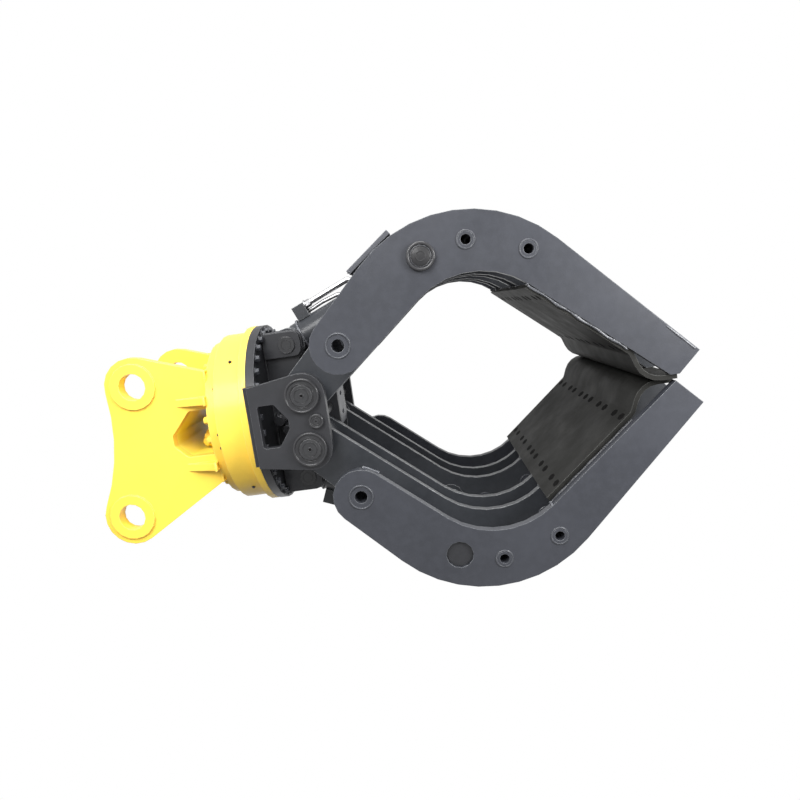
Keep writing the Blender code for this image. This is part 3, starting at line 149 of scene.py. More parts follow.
# Bare metal and dark soft stuff
STEEL_COLOUR = (0.42, 0.42, 0.43)
STEEL_ROUGHNESS = 0.30
SHELL_COLOURS = ((0.013, 0.013, 0.012), (0.020, 0.0198, 0.0185))
SHELL_STREAK = (0.050, 0.049, 0.046)
# Shell edges lighter: wear and painted highlight.
SHELL_EDGE_WEAR_AND_HIGHLIGHT = (0.11, 0.11, 0.107)
CHROME_COLOURS = ((0.78, 0.79, 0.81), (0.70, 0.70, 0.70))
RUBBER_COLOURS = ((0.010, 0.010, 0.011), (0.026, 0.025, 0.024))
# Dirt packed in the shells' slots, also painted shade there and in the grease holes.
DIRT_AND_SHADE_COLOURS = ((0.003, 0.003, 0.003), (0.008, 0.0075, 0.007))

# The record's material slot of each finish, and the finish that a slot gets if a node's name says no more
FINISH_OF = {
    "yellow_paint": "yellow",
    "grey_paint": "grey",
    "dark_grey_paint": "dark",
    "machined_steel": "steel",
    "hard_chrome": "chrome",
}

# Welds: radius of a bead, its ripples, and how its width and its line vary
WELD_THROAT = 0.0045
FINE_WELD = 0.003
WELD_RIPPLE = 0.0055
WELD_SIDES = 7
WELD_CIRCLE_STEPS = 40
WELD_SWELL = 0.16
WELD_SWELL_PACE = 0.31
WELD_JITTER = 0.05
WELD_VALLEY = 0.82
WELD_END = 0.45
WELD_WANDER_PACE = 0.23
ALMOST_ALONG_PINS = 0.99

# How far a corner may lie off a flat face
LEVEL_SLACK = 0.0002

# Turned pieces: steps round a ring and over its half round section
RING_STEPS = 56
HALF_ROUND_STEPS = 8

# Bolt heads: height of the washer and the chamfer as shares of the head, then their radii
WASHER_HEIGHT = 0.22
WASHER_RADIUS = 1.28
CHAMFER_HEIGHT = 0.16
CHAMFER_RADIUS = 0.86

# Jaws
JAW_MIDDLE = Vector((0.1, -0.4, -0.95))
TINE_COUNT = 6
TUBES = ("tie_tube_upper", "tie_tube_lower", "eye_tube_left", "eye_tube_right")
SHELL_FLAT = 0.300
SHELL_TOP_CORNERS = 8
SHELL_TOP_STRETCH = 0.2
GUARD_WELD_INSET = 0.004
GUARD_WELD_DEPTH = 0.8
GUARD_WELD_SIZE = 1.2
TIP_WELD_ENDS = ((0.130, -1.495), (0.069, -1.566))
TIP_WELD_INSET = Vector((-0.75, 0, 0.66)) * WELD_THROAT
EYE_WELD_ENDS = ((-0.134, -0.697), (-0.150, -0.739))
EYE_WELD_WANDER = 0.001

# Dirt and painted shade in the shells' slots: size against the slot and depth, from the top down
SLOT_FILL_SHAPE = ((0.6, -0.0004), (1.16, 0.0), (1.0, 0.001), (1.0, 0.010))

# Caps and pin ends: places of rings and grooves are shares of the cap's radius
CAP_RIM = 0.0035
CAP_GROOVE = 0.0011
CAP_WIRE = CAP_GROOVE * 0.7
CAP_WIRE_STEP = CAP_GROOVE * 1.5
CAP_GROOVE_PLACES = (0.40, 0.66)
SOCKET_RADIUS = 0.0052
SOCKET_SHARE = 0.13
SOCKET_WIRE = 0.28
SOCKET_HOLE = ((0.95, 0.0), (0.95, 0.1), (0.0, 0.1))
PIN_GROOVE_PLACE = 0.58
PIN_RING_SUNK = 0.65
ROD_PIN_RIM_PLACE = 0.90
ROD_PIN_RING_PLACE = 0.70
ROD_PIN_FACE = ((0.66, 0.0), (0.66, 0.0012), (0.62, 0.002), (0.0, 0.002))
ROD_PIN_GROOVE_PLACE = 0.34
ROD_PIN_GROOVE_HEIGHT = 0.0016

# Frame: bolts under the top plate and hose fittings (x, z, size), let 0.5 mm into the webs
FRAME_BOLT_COUNT = 36
FRAME_BOLT_INSET = 0.016
FRAME_BOLT = (0.0095, 0.010)
WEB_FACE = 0.0795
WEB_FITTINGS = ((0.016, -0.434, 0.020), (0.046, -0.452, 0.017), (-0.020, -0.455, 0.015))
FITTING_NECK = ((0.6, 1.0), (0.6, 1.9), (0.75, 2.0), (0.75, 2.6), (0.0, 2.6))

# Head: bolts on the base plate except under the ears, bolts of the motor, plugs and swivel ports
HEAD_BOLT_COUNT = 24
HEAD_BOLT_INSET = 0.020
HEAD_BOLT = (0.011, 0.013)
EAR_BAND = (0.14, 0.215)
MOTOR_BOLT_COUNT = 4
MOTOR_BOLT_CIRCLE = 0.028
MOTOR_BOLT = (0.005, 0.006)
PLUG = (0.0042, 0.004)
PLUG_LEDGE = 0.010
PLUG_WALL_INSET = 0.0165
PLUG_WALL_Z = -0.333
TOP_PLUG_ANGLES = (-92.8, -102.1, -62.5, 62.5, 92.8)
WALL_PLUG_ANGLES = (-44.8, -138.8, 44.8, 138.8)
PORT_PLACE = (-0.036, -0.040, -0.224)
PORT_WAY = (-0.019, -0.062, 0.034)
PORT_NECK = ((0.017, -0.01), (0.017, 0.036))
PORT_NUT = (0.024, 0.022)
PORT_CAP = ((0.013, 0.062), (0.013, 0.072), (0.010, 0.076), (0, 0.076))

# Cylinders: places are (along the cylinder, outwards, along the pins) from the lug pin
GLAND_RING = ((0.0365, -0.002), (0.0365, 0.003), (0.046, 0.003), (0.048, 0.0), (0.048, -0.002))
GLAND_RING_STEPS = 40
GLAND_SCREW_COUNT = 6
GLAND_SCREW_CIRCLE = 0.0425
GLAND_SCREW_HEIGHT = 0.003
GLAND_SCREW = (0.003, 0.002)
BASE_EYE_WELD = 0.048
BASE_EYE_WELD_RADIUS = 0.0505
LOW_PIPE_NUT_PLACE = (0.0985, 0.0813)
LOW_PIPE_NUT = (0.0125, 0.016)
HIGH_PIPE_NUT_PLACE = (0.262, 0.0603)
HIGH_PIPE_NUT = (0.0125, 0.008)
SHORT_PIPE_RADIUS = 0.0065
SHORT_PIPE = (
    (0.098, 0.061, 0.014),
    (0.150, 0.063, 0.014),
    (0.205, 0.058, 0.010),
    (0.222, 0.046, 0.010),
)


def joint_place(name):
    return next(Vector(joint["pos_m"]) for joint in frame["joints"] if joint["name"] == name)


LUG = joint_place("barrel_a_pivot")
CYLINDER_AXIS = (joint_place("rod_a_pivot") - LUG).normalized()
CYLINDER_OUT = CYLINDER_AXIS.cross(ALONG_PINS)


# Camera, floor and light


def camera():
    """The photograph's camera: the grapple lies on its side in the frame."""
    level = Matrix(((0, 0, -1), (1, 0, 0), (0, 1, 0)))
    yaw = Matrix.Rotation(-CAMERA_YAW, 3, "Y")
    pitch = Matrix.Rotation(CAMERA_PITCH, 3, "X")
    roll = Matrix.Rotation(-CAMERA_ROLL, 3, "Z")
    right, up, ahead = roll @ pitch @ yaw @ level
    lens = bpy.data.cameras.new("photo_camera")
    lens.lens = CAMERA_LENS
    lens.sensor_width = CAMERA_SENSOR
    lens.clip_start = CAMERA_NEAR
    holder = bpy.data.objects.new("photo_camera", lens)
    bpy.context.scene.collection.objects.link(holder)
    pose = Matrix((right, up, -ahead)).transposed().to_4x4()
    pose.translation = CAMERA_PLACE
    holder.matrix_world = pose
    bpy.context.scene.camera = holder


def seen_directly(nodes, links):
    """1 for camera, glass and mirror rays, which see plain white, 0 for the rays that light the object."""
    path = nodes.new("ShaderNodeLightPath")
    share = path.outputs["Is Camera Ray"]
    for ray in ("Is Transmission Ray", "Is Glossy Ray"):
        either = nodes.new("ShaderNodeMath")
        either.operation = "MAXIMUM"
        links.new(share, either.inputs[0])
        links.new(path.outputs[ray], either.inputs[1])
        share = either.outputs[0]
    return share


def studio_glow(nodes, links):
    """Bright on the +X side, which is up in the photograph, and brighter in front than behind."""
    place = nodes.new("ShaderNodeTexCoord")
    split = nodes.new("ShaderNodeSeparateXYZ")
    links.new(place.outputs["Generated"], split.inputs[0])
    lift = nodes.new("ShaderNodeMapRange")
    lift.inputs["From Min"].default_value = -1.0
    links.new(split.outputs["X"], lift.inputs["Value"])
    ramp = nodes.new("ShaderNodeValToRGB")
    for stop, (position, level) in zip(ramp.color_ramp.elements, GLOW_RAMP):
        stop.position = position
        stop.color = (level, level, level, 1)
    links.new(lift.outputs[0], ramp.inputs[0])
    front = nodes.new("ShaderNodeMapRange")
    front.inputs["From Min"].default_value = -1.0
    front.inputs["To Min"].default_value = GLOW_IN_FRONT
    front.inputs["To Max"].default_value = GLOW_BEHIND
    links.new(split.outputs["Y"], front.inputs["Value"])
    glow = nodes.new("ShaderNodeVectorMath")
    glow.operation = "SCALE"
    links.new(ramp.outputs[0], glow.inputs[0])
    links.new(front.outputs[0], glow.inputs["Scale"])
    return glow.outputs[0]


def world():
    """White where it is seen directly, the studio's glow where it lights the object."""
    sky = bpy.data.worlds.new("studio")
    sky.use_nodes = True
    nodes, links = sky.node_tree.nodes, sky.node_tree.links
    nodes.clear()
    output = nodes.new("ShaderNodeOutputWorld")
    white = nodes.new("ShaderNodeBackground")
    white.inputs["Color"].default_value = (1, 1, 1, 1)
    white.inputs["Strength"].default_value = 1.0
    soft = nodes.new("ShaderNodeBackground")
    soft.inputs["Strength"].default_value = SKY_STRENGTH
    links.new(studio_glow(nodes, links), soft.inputs["Color"])
    mix = nodes.new("ShaderNodeMixShader")
    links.new(seen_directly(nodes, links), mix.inputs[0])
    links.new(soft.outputs[0], mix.inputs[1])
    links.new(white.outputs[0], mix.inputs[2])
    links.new(mix.outputs[0], output.inputs["Surface"])
    bpy.context.scene.world = sky


def lamp(name, place, side, power):
    light = bpy.data.lights.new(name, "AREA")
    light.shape = "SQUARE"
    light.size = side
    light.energy = power
    holder = bpy.data.objects.new(name, light)
    holder.location = place
    holder.rotation_euler = (LAMP_AIM - Vector(place)).to_track_quat("-Z", "Y").to_euler()
    bpy.context.scene.collection.objects.link(holder)


def floor():
    """A pale disc far under the hanging grapple, fading out at its rim."""
    build = bmesh.new()
    bmesh.ops.create_circle(build, cap_ends=True, radius=FLOOR_RADIUS, segments=FLOOR_STEPS)
    mesh = bpy.data.meshes.new("floor")
    build.to_mesh(mesh)
    build.free()
    disc = bpy.data.objects.new("floor", mesh)
    disc.location = (0, 0, CAD_BOX[0].z - FLOOR_DROP)
    bpy.context.scene.collection.objects.link(disc)
    material = bpy.data.materials.new("floor")
    material.use_nodes = True
    nodes, links = material.node_tree.nodes, material.node_tree.links
    shader = nodes["Principled BSDF"]
    shader.inputs["Base Color"].default_value = FLOOR_COLOUR
    shader.inputs["Roughness"].default_value = FLOOR_ROUGHNESS
    place = nodes.new("ShaderNodeTexCoord")
    length = nodes.new("ShaderNodeVectorMath")
    length.operation = "LENGTH"
    links.new(place.outputs["Object"], length.inputs[0])
    fade = nodes.new("ShaderNodeMapRange")
    fade.interpolation_type = "SMOOTHSTEP"
    fade.inputs["From Min"].default_value = FLOOR_FADE
    fade.inputs["From Max"].default_value = FLOOR_RADIUS
    links.new(length.outputs["Value"], fade.inputs["Value"])
    clear = nodes.new("ShaderNodeBsdfTransparent")
    mix = nodes.new("ShaderNodeMixShader")
    links.new(fade.outputs[0], mix.inputs[0])
    links.new(shader.outputs[0], mix.inputs[1])
    links.new(clear.outputs[0], mix.inputs[2])
    links.new(mix.outputs[0], nodes["Material Output"].inputs["Surface"])
    mesh.materials.append(material)


# Materials


class Finish:
    """A material under construction, with short names for the nodes it is made of.

    A noise's scale is in cycles per metre. spread() stretches a value between two levels to 0 and 1, or to
    two other numbers. A bump's distance is in metres.
    """

    def __init__(self, name):
        self.material = bpy.data.materials.new(name)
        self.material.use_nodes = True
        self.nodes = self.material.node_tree.nodes
        self.links = self.material.node_tree.links
        self.shader = self.nodes["Principled BSDF"]
        self.place = self.nodes.new("ShaderNodeTexCoord").outputs["Object"]

    def set(self, **values):
        for name, value in values.items():
            self.shader.inputs[name.replace("_", " ")].default_value = value

    def noise(self, scale, detail=3.0, roughness=0.55, stretch=None):
        texture = self.nodes.new("ShaderNodeTexNoise")
        texture.inputs["Scale"].default_value = scale
        texture.inputs["Detail"].default_value = detail
        texture.inputs["Roughness"].default_value = roughness
        self.links.new(self.stretched(stretch), texture.inputs["Vector"])
        return texture.outputs["Fac"]

    def stretched(self, stretch):
        if stretch is None:
            return self.place
        mapping = self.nodes.new("ShaderNodeMapping")
        mapping.inputs["Scale"].default_value = stretch
        self.links.new(self.place, mapping.inputs["Vector"])
        return mapping.outputs[0]

    def spread(self, value, low, high, out_low=0.0, out_high=1.0):
        node = self.nodes.new("ShaderNodeMapRange")
        levels = {"From Min": low, "From Max": high, "To Min": out_low, "To Max": out_high}
        for name, number in levels.items():
            node.inputs[name].default_value = number
        self.links.new(value, node.inputs["Value"])
        return node.outputs[0]

    def math(self, operation, first, second):
        node = self.nodes.new("ShaderNodeMath")
        node.operation = operation
        for socket, value in zip(node.inputs, (first, second)):
            if isinstance(value, (int, float)):
                socket.default_value = value
            else:
                self.links.new(value, socket)
        return node.outputs[0]

    def mix(self, share, first, second):
        node = self.nodes.new("ShaderNodeMix")
        node.data_type = "RGBA"
        colour_sockets = [socket for socket in node.inputs if socket.type == "RGBA"]
        self.links.new(share, node.inputs[0])
        for socket, value in zip(colour_sockets, (first, second)):
            if isinstance(value, tuple):
                socket.default_value = (*value, 1)
            else:
                self.links.new(value, socket)
        return next(socket for socket in node.outputs if socket.type == "RGBA")

    def edges(self, radius):
        """1 on rounded-off edges, 0 on flat metal, and the rounded normal itself."""
        rounded = self.nodes.new("ShaderNodeBevel")
        rounded.samples = BEVEL_SAMPLES
        rounded.inputs["Radius"].default_value = radius
        flat = self.nodes.new("ShaderNodeNewGeometry")
        dot = self.nodes.new("ShaderNodeVectorMath")
        dot.operation = "DOT_PRODUCT"
        self.links.new(rounded.outputs[0], dot.inputs[0])
        self.links.new(flat.outputs["Normal"], dot.inputs[1])
        return self.spread(dot.outputs["Value"], BEVEL_FLAT, BEVEL_EDGE), rounded.outputs[0]

    def bump(self, height, distance, strength=1.0, normal=None):
        node = self.nodes.new("ShaderNodeBump")
        node.inputs["Distance"].default_value = distance
        node.inputs["Strength"].default_value = strength
        self.links.new(height, node.inputs["Height"])
        if normal is not None:
            self.links.new(normal, node.inputs["Normal"])
        return node.outputs[0]

    def wire(self, **sockets):
        for name, value in sockets.items():
            self.links.new(value, self.shader.inputs[name.replace("_", " ")])


def shade(colour, factor):
    return tuple(min(1.0, value * factor) for value in colour)


def enamel(name, base, edge, roughness, deep=0.84, pale=1.30, edge_radius=0.003):
    """Sprayed enamel on plate: cloudy colour, orange peel, thin paint and painted highlight on the edges, a
    few scuffs.
    """
    finish = Finish(name)
    cloud = finish.spread(finish.noise(5.0, 4.0), 0.35, 0.65)
    fleck = finish.spread(finish.noise(46.0, 5.0, 0.7), 0.42, 0.62)
    colour = finish.mix(cloud, base, shade(base, deep))
    colour = finish.mix(finish.math("MULTIPLY", fleck, 0.30), colour, shade(base, pale))
    edge_mask, rounded = finish.edges(edge_radius)
    broken = finish.spread(finish.noise(120.0, 4.0, 0.7), 0.38, 0.60)
    worn_and_highlit = finish.math("MULTIPLY", edge_mask, finish.math("MAXIMUM", broken, 0.45))
    # The edge colour stands for paint wear and for painted highlight along the edges.
    colour = finish.mix(worn_and_highlit, colour, edge)
    scuff = finish.spread(finish.noise(24.0, 6.0, 0.75, (1.0, 1.0, 4.0)), 0.66, 0.80)
    colour = finish.mix(finish.math("MULTIPLY", scuff, 0.5), colour, shade(base, pale * 1.15))
    gloss = finish.spread(finish.noise(9.0, 3.0), 0.3, 0.7, roughness - 0.07, roughness + 0.09)
    gloss = finish.math("ADD", gloss, finish.math("MULTIPLY", scuff, 0.18))
    peeled = finish.bump(finish.noise(420.0, 2.0), 0.00022, 0.5, rounded)
    plate = finish.bump(finish.noise(7.0, 2.0), 0.0012, 0.35, peeled)
    finish.wire(Base_Color=colour, Roughness=gloss, Normal=plate)
    finish.set(Metallic=0.0, Specular_IOR_Level=0.25, Coat_Weight=0.10, Coat_Roughness=0.12)
    return finish.material


def wear_plate():
    """The shells: brownish grey, rubbed along the grain by what slides on them."""
    finish = Finish("wear_shell")
    cloud = finish.spread(finish.noise(4.0, 5.0, 0.6), 0.35, 0.65)
    colour = finish.mix(cloud, *SHELL_COLOURS)
    streak = finish.spread(finish.noise(16.0, 6.0, 0.72, (1.0, 0.35, 1.0)), 0.55, 0.74)
    colour = finish.mix(finish.math("MULTIPLY", streak, 0.35), colour, SHELL_STREAK)
    edge_mask, rounded = finish.edges(0.0022)
    # Lighter shell edges: wear and painted highlight.
    colour = finish.mix(finish.math("MULTIPLY", edge_mask, 0.75), colour, SHELL_EDGE_WEAR_AND_HIGHLIGHT)
    gloss = finish.spread(finish.noise(11.0, 4.0), 0.3, 0.7, 0.50, 0.66)
    rolled = finish.bump(finish.noise(60.0, 4.0, 0.6), 0.0006, 0.4, rounded)
    dents = finish.bump(finish.noise(9.0, 2.0), 0.003, 0.5, rolled)
    finish.wire(Base_Color=colour, Roughness=gloss, Normal=dents)
    finish.set(Metallic=0.0, Specular_IOR_Level=0.08)
    return finish.material


def bare_steel():
    """Turned steel with stains."""
    finish = Finish("machined_steel")
    turned_lines = finish.spread(finish.noise(60.0, 3.0, 0.6, (1.0, 1.0, 30.0)), 0.3, 0.7)
    stain = finish.spread(finish.noise(14.0, 4.0, 0.6), 0.45, 0.7)
    colour = finish.mix(finish.math("MULTIPLY", stain, 0.55), STEEL_COLOUR, shade(STEEL_COLOUR, 0.55))
    gloss = finish.math("ADD", finish.math("MULTIPLY", turned_lines, 0.12), STEEL_ROUGHNESS)
    _, rounded = finish.edges(0.0012)
    normal = finish.bump(turned_lines, 0.00006, 0.6, rounded)
    finish.wire(Base_Color=colour, Roughness=gloss, Normal=normal)
    finish.set(Metallic=1.0)
    return finish.material


def chrome():
    """The piston rods: polished, with fine lines and a film of oil."""
    finish = Finish("chromed_rod")
    film = finish.spread(finish.noise(30.0, 4.0), 0.4, 0.7, 0.06, 0.2)
    lines = finish.noise(500.0, 2.0, 0.5, (1.0, 1.0, 0.05))
    tint = finish.spread(finish.noise(18.0, 3.0), 0.4, 0.7)
    colour = finish.mix(tint, *CHROME_COLOURS)
    finish.wire(Base_Color=colour, Roughness=film, Normal=finish.bump(lines, 0.00001, 0.4))
    finish.set(Metallic=1.0)
    return finish.material


def soft_dark(name, colours, roughness, grain, height, shine=0.5):
    """Rubber, or the dark fill of slots and holes: dark, matt and grainy. Dirt packed there, and painted
    shade of the holes.
    """
    finish = Finish(name)
    speck = finish.spread(finish.noise(grain, 4.0), 0.4, 0.7)
    rough = finish.bump(finish.noise(grain * 2, 3.0), height, 0.5)
    finish.wire(Base_Color=finish.mix(speck, *colours), Normal=rough)
    finish.set(Roughness=roughness, Specular_IOR_Level=shine)
    return finish.material


def make_finishes():
    finishes = {key: enamel(*row, **ENAMEL_EXTRAS.get(key, {})) for key, row in ENAMELS.items()}
    finishes["shell"] = wear_plate()
    finishes["steel"] = bare_steel()
    finishes["chrome"] = chrome()
    finishes["seal"] = soft_dark("rubber_seal", RUBBER_COLOURS, 0.7, 150.0, 0.0002)
    finishes["dirt_and_shade"] = soft_dark("packed_dirt_and_shade", DIRT_AND_SHADE_COLOURS, 0.9, 220.0, 0.0008, 0.08)
    return finishes


def finish_key(name, slot):
    """The finish of a node, from its name or else from its material slot."""
    if name.endswith("_shell"):
        return "shell"
    # The guard plates and the foot plate get the lighter grey: painted light.
    if name.endswith("_guard_plate") or name == "frame_foot_plate":
        return "guard"
    # The port liner gets the lighter yellow: painted light.
    if name == "head_port_liner":
        return "painted_light_yellow"
    if name.startswith(("hinge_", "lug_pin", "frame_tie")):
        return "cap"
    if name.startswith("frame_") or name.endswith("_access_cover"):
        return "frame"
    if name.startswith("cylinder_") and slot == "grey_paint":
        return "dark"
    return FINISH_OF[slot]


def smooth_shading():
    """A node group that shades round stretches smoothly and keeps real edges crisp."""
    group = bpy.data.node_groups.new("smooth_round_stretches", "GeometryNodeTree")
    group.interface.new_socket("Geometry", in_out="INPUT", socket_type="NodeSocketGeometry")
    group.interface.new_socket("Geometry", in_out="OUTPUT", socket_type="NodeSocketGeometry")
    nodes, links = group.nodes, group.links
    source = nodes.new("NodeGroupInput")
    merge = nodes.new("GeometryNodeMergeByDistance")
    merge.inputs["Distance"].default_value = MERGE_DISTANCE
    drop = nodes.new("GeometryNodeRemoveAttribute")
    drop.inputs["Name"].default_value = "custom_normal"
    faces = nodes.new("GeometryNodeSetShadeSmooth")
    faces.domain = "FACE"
    angle = nodes.new("GeometryNodeInputMeshEdgeAngle")
    steep = nodes.new("FunctionNodeCompare")
    steep.operation = "GREATER_THAN"
    steep.inputs["B"].default_value = SMOOTH_ANGLE
    edges = nodes.new("GeometryNodeSetShadeSmooth")
    edges.domain = "EDGE"
    edges.inputs["Shade Smooth"].default_value = False
    result = nodes.new("NodeGroupOutput")
    links.new(source.outputs[0], merge.inputs["Geometry"])
    links.new(merge.outputs["Geometry"], drop.inputs["Geometry"])
    links.new(drop.outputs["Geometry"], faces.inputs["Geometry"])
    links.new(angle.outputs["Unsigned Angle"], steep.inputs["A"])
    links.new(steep.outputs["Result"], edges.inputs["Selection"])
    links.new(faces.outputs["Geometry"], edges.inputs["Geometry"])
    links.new(edges.outputs["Geometry"], result.inputs[0])
    return group


def dress_nodes(finishes):
    """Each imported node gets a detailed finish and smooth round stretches."""
    slots = {row["node"]: row["material_slot"] for row in frame["record"]["subparts"]}
    smooth = smooth_shading()
    for name, node in NODES.items():
        node.data.materials.clear()
        node.data.materials.append(finishes[finish_key(name, slots[name])])
        node.modifiers.new("smooth", "NODES").node_group = smooth


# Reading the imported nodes


def node_points(name):
    return [vert.co for vert in NODES[name].data.vertices]


def face_loops(name, place, normal):
    """The closed edges of a node's flat face in a plane, each a list of points, the longest first."""
    build = bmesh.new()
    build.from_mesh(NODES[name].data)
    bmesh.ops.remove_doubles(build, verts=build.verts, dist=MERGE_DISTANCE)
    level = {
        face for face in build.faces
        if all(abs((vert.co - place).dot(normal)) < LEVEL_SLACK for vert in face.verts)
    }
    following = {}
    for edge in build.edges:
        if sum(face in level for face in edge.link_faces) == 1:
            first, second = edge.verts
            following.setdefault(first, []).append(second)
            following.setdefault(second, []).append(first)
    loops = []
    while following:
        start = next(iter(following))
        loop = [start]
        here = start
        while following.get(here):
            ahead = following[here].pop()
            following[ahead].remove(here)
            here = ahead
            if here is start:
                break
            loop.append(here)
        following = {vert: others for vert, others in following.items() if others}
        loops.append([vert.co.copy() for vert in loop])
    build.free()
    return sorted(loops, key=loop_length, reverse=True)


def loop_length(loop):
    return sum((a - b).length for a, b in zip(loop, loop[1:] + loop[:1]))


def along_edge(name, level, ends):
    """The stretch of a tine's outline, on its face at a level, between the points nearest to two (x, z)."""
    outline = evened(face_loops(name, ALONG_PINS * level, ALONG_PINS)[0], WELD_RIPPLE, True)
    first, last = (nearest(outline, Vector((x, level, z))) for x, z in ends)
    return min(loop_part(outline, first, last), loop_part(outline, last, first), key=len)


def nearest(points, place):
    return min(range(len(points)), key=lambda index: (points[index] - place).length)


def loop_part(loop, first, last):
    """The points of a closed loop from one index on to another."""
    count = (last - first) % len(loop) + 1
    return [loop[(first + step) % len(loop)] for step in range(count)]


# Shape tools


def middle(points):
    return sum(points, Vector()) / len(points)


def evened(path, step, closed):
    """The path again, with points at an even step."""
    points = list(path) + ([path[0]] if closed else [])
    lengths = [(b - a).length for a, b in zip(points, points[1:])]
    total = sum(lengths)
    count = max(4, round(total / step))
    spots = []
    index, walked = 0, 0.0
    for number in range(count + (0 if closed else 1)):
        target = total * number / count
        while index < len(lengths) - 1 and walked + lengths[index] < target:
            walked += lengths[index]
            index += 1
        share = (target - walked) / max(lengths[index], MERGE_DISTANCE)
        spots.append(points[index].lerp(points[index + 1], min(1.0, share)))
    return spots


def circle(centre, across, up, radius, steps):
    """Points round a centre, in the plane of two unit directions."""
    points = []
    for step in range(steps):
        angle = TURN * step / steps
        points.append(centre + (across * math.cos(angle) + up * math.sin(angle)) * radius)
    return points


def around(count, radius, height, offset=0.0):
    """Points round the Z axis, the first one turned by a share of the step between them."""
    points = []
    for number in range(count):
        angle = TURN * (number + offset) / count
        points.append(Vector((radius * math.cos(angle), radius * math.sin(angle), height)))
    return points


def round_z(spot, degrees):
    return Matrix.Rotation(math.radians(degrees), 3, "Z") @ spot


def crossways(way):
    """Two unit directions square to a way and to each other."""
    run = way.normalized()
    if abs(run.y) > ALMOST_ALONG_PINS:
        side = run.orthogonal().normalized()
    else:
        side = run.cross(ALONG_PINS).normalized()
    return side, run.cross(side)


def facing(place, direction):
    """A matrix that stands a piece at a place with its +Z along a direction."""
    return Matrix.Translation(place) @ Vector(direction).to_track_quat("Z", "X").to_matrix().to_4x4()


def add_corners(build, points):
    return [build.verts.new(point) for point in points]


def loft(build, rings):
    """Faces from each ring of corners to the next. A ring of one corner is a point."""
    for first, second in zip(rings, rings[1:]):
        for index in range(max(len(first), len(second))):
            if len(first) == 1:
                corners = (first[0], second[index], second[index - 1])
            elif len(second) == 1:
                corners = (first[index - 1], first[index], second[0])
            else:
                corners = (first[index - 1], first[index], second[index], second[index - 1])
            build.faces.new(corners)


def close_ends(build, rings):
    build.faces.new(rings[0])
    build.faces.new(rings[-1][::-1])


def add_bead(build, path, radius, closed=False, wander=0.0):
    """A weld bead along a path: a tube with the ripples of the puddle and an uneven width."""
    spots = evened(path, WELD_RIPPLE / 2, closed)
    count = len(spots)
    rings = []
    swell = RANDOM.uniform(0, TURN)
    for number, spot in enumerate(spots):
        behind = spots[number - 1] if closed or number else spot
        ahead = spots[(number + 1) % count] if closed or number < count - 1 else spot
        side, up = crossways(ahead - behind)
        wave = 1 + WELD_SWELL * math.sin(swell + number * WELD_SWELL_PACE)
        width = radius * (wave + RANDOM.uniform(-WELD_JITTER, WELD_JITTER))
        width *= 1.0 if number % 2 else WELD_VALLEY
        if not closed and number in (0, count - 1):
            width *= WELD_END
        centre = spot + side * wander * math.sin(swell + number * WELD_WANDER_PACE)
        rings.append(add_corners(build, circle(centre, side, up, width, WELD_SIDES)))
    if closed:
        loft(build, rings + rings[:1])
    else:
        loft(build, rings)
        close_ends(build, rings)


def add_pipe(build, path, radius, steps=12):
    """A smooth round pipe through a few points."""
    spots = evened(path, radius, False)
    last = len(spots) - 1
    rings = []
    for number, spot in enumerate(spots):
        side, up = crossways(spots[min(number + 1, last)] - spots[max(number - 1, 0)])
        rings.append(add_corners(build, circle(spot, side, up, radius, steps)))
    loft(build, rings)
    close_ends(build, rings)


def add_turned(build, profile, pose, steps=24):
    """A turned solid from (radius, height) points, set in place by a matrix."""
    rings = []
    for radius, height in profile:
        spots = around(steps, radius, height) if radius else [UPWARD * height]
        rings.append(add_corners(build, [pose @ spot for spot in spots]))
    loft(build, rings)


def add_ring(build, pose, radius, thick, height=0.0):
    """A round wire laid on a face, half sunk in it."""
    profile = []
    for step in range(HALF_ROUND_STEPS + 1):
        angle = math.pi * step / HALF_ROUND_STEPS
        profile.append((radius + thick * math.cos(angle), height + thick * math.sin(angle)))
    add_turned(build, profile, pose, RING_STEPS)


def add_bolt(build, pose, radius, height):
    """A hexagon head with a chamfered top on a washer."""
    low = height * WASHER_HEIGHT
    high = low + height
    rim = radius * WASHER_RADIUS
    add_turned(build, [(0, 0), (rim, 0), (rim, low), (radius, low)], pose, 20)
    shoulder = high - height * CHAMFER_HEIGHT
    head = [(radius, low), (radius, shoulder), (radius * CHAMFER_RADIUS, high), (0, high)]
    add_turned(build, head, pose, 6)


def piece(name, build, body, key, finishes):
    """Turns a bmesh into a piece that rides on a body."""
    bmesh.ops.recalc_face_normals(build, faces=build.faces)
    mesh = bpy.data.meshes.new(name)
    build.to_mesh(mesh)
    build.free()
    mesh.shade_smooth()
    mesh.set_sharp_from_angle(angle=SMOOTH_ANGLE)
    mesh.materials.append(finishes[key])
    return settle(name, mesh, body)


def settle(name, mesh, body, turn=None):
    thing = bpy.data.objects.new(name, mesh)
    bpy.context.scene.collection.objects.link(thing)
    if turn is not None:
        thing.matrix_world = turn
    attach(thing, body)
    return thing


def on_both_jaws(name, build, key, finishes):
    """A piece of jaw a, and the same turned half round for jaw b."""
    first = piece("jaw_a_" + name, build, "jaw_a", key, finishes)
    settle("jaw_b_" + name, first.data, "jaw_b", HALF_TURN)


def on_both_cylinders(name, build, key, finishes):
    """A piece of barrel a, and the same turned half round for barrel b."""
    first = piece("cylinder_a_" + name, build, "barrel_a", key, finishes)
    settle("cylinder_b_" + name, first.data, "barrel_b", HALF_TURN)


# Jaws


def tine_faces():
    """The two flat faces of each tine of jaw a, from -Y to +Y, without hubs and bosses."""
    rows = []
    for number in range(1, TINE_COUNT + 1):
        name = "jaw_a_tine_" + str(number)
        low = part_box(name)[0]
        tip = [spot.y for spot in node_points(name) if spot.z < low.z + WELD_THROAT]
        rows.append((min(tip), max(tip)))
    return rows


def tine_levels():
    return [level for faces in tine_faces() for level in faces]


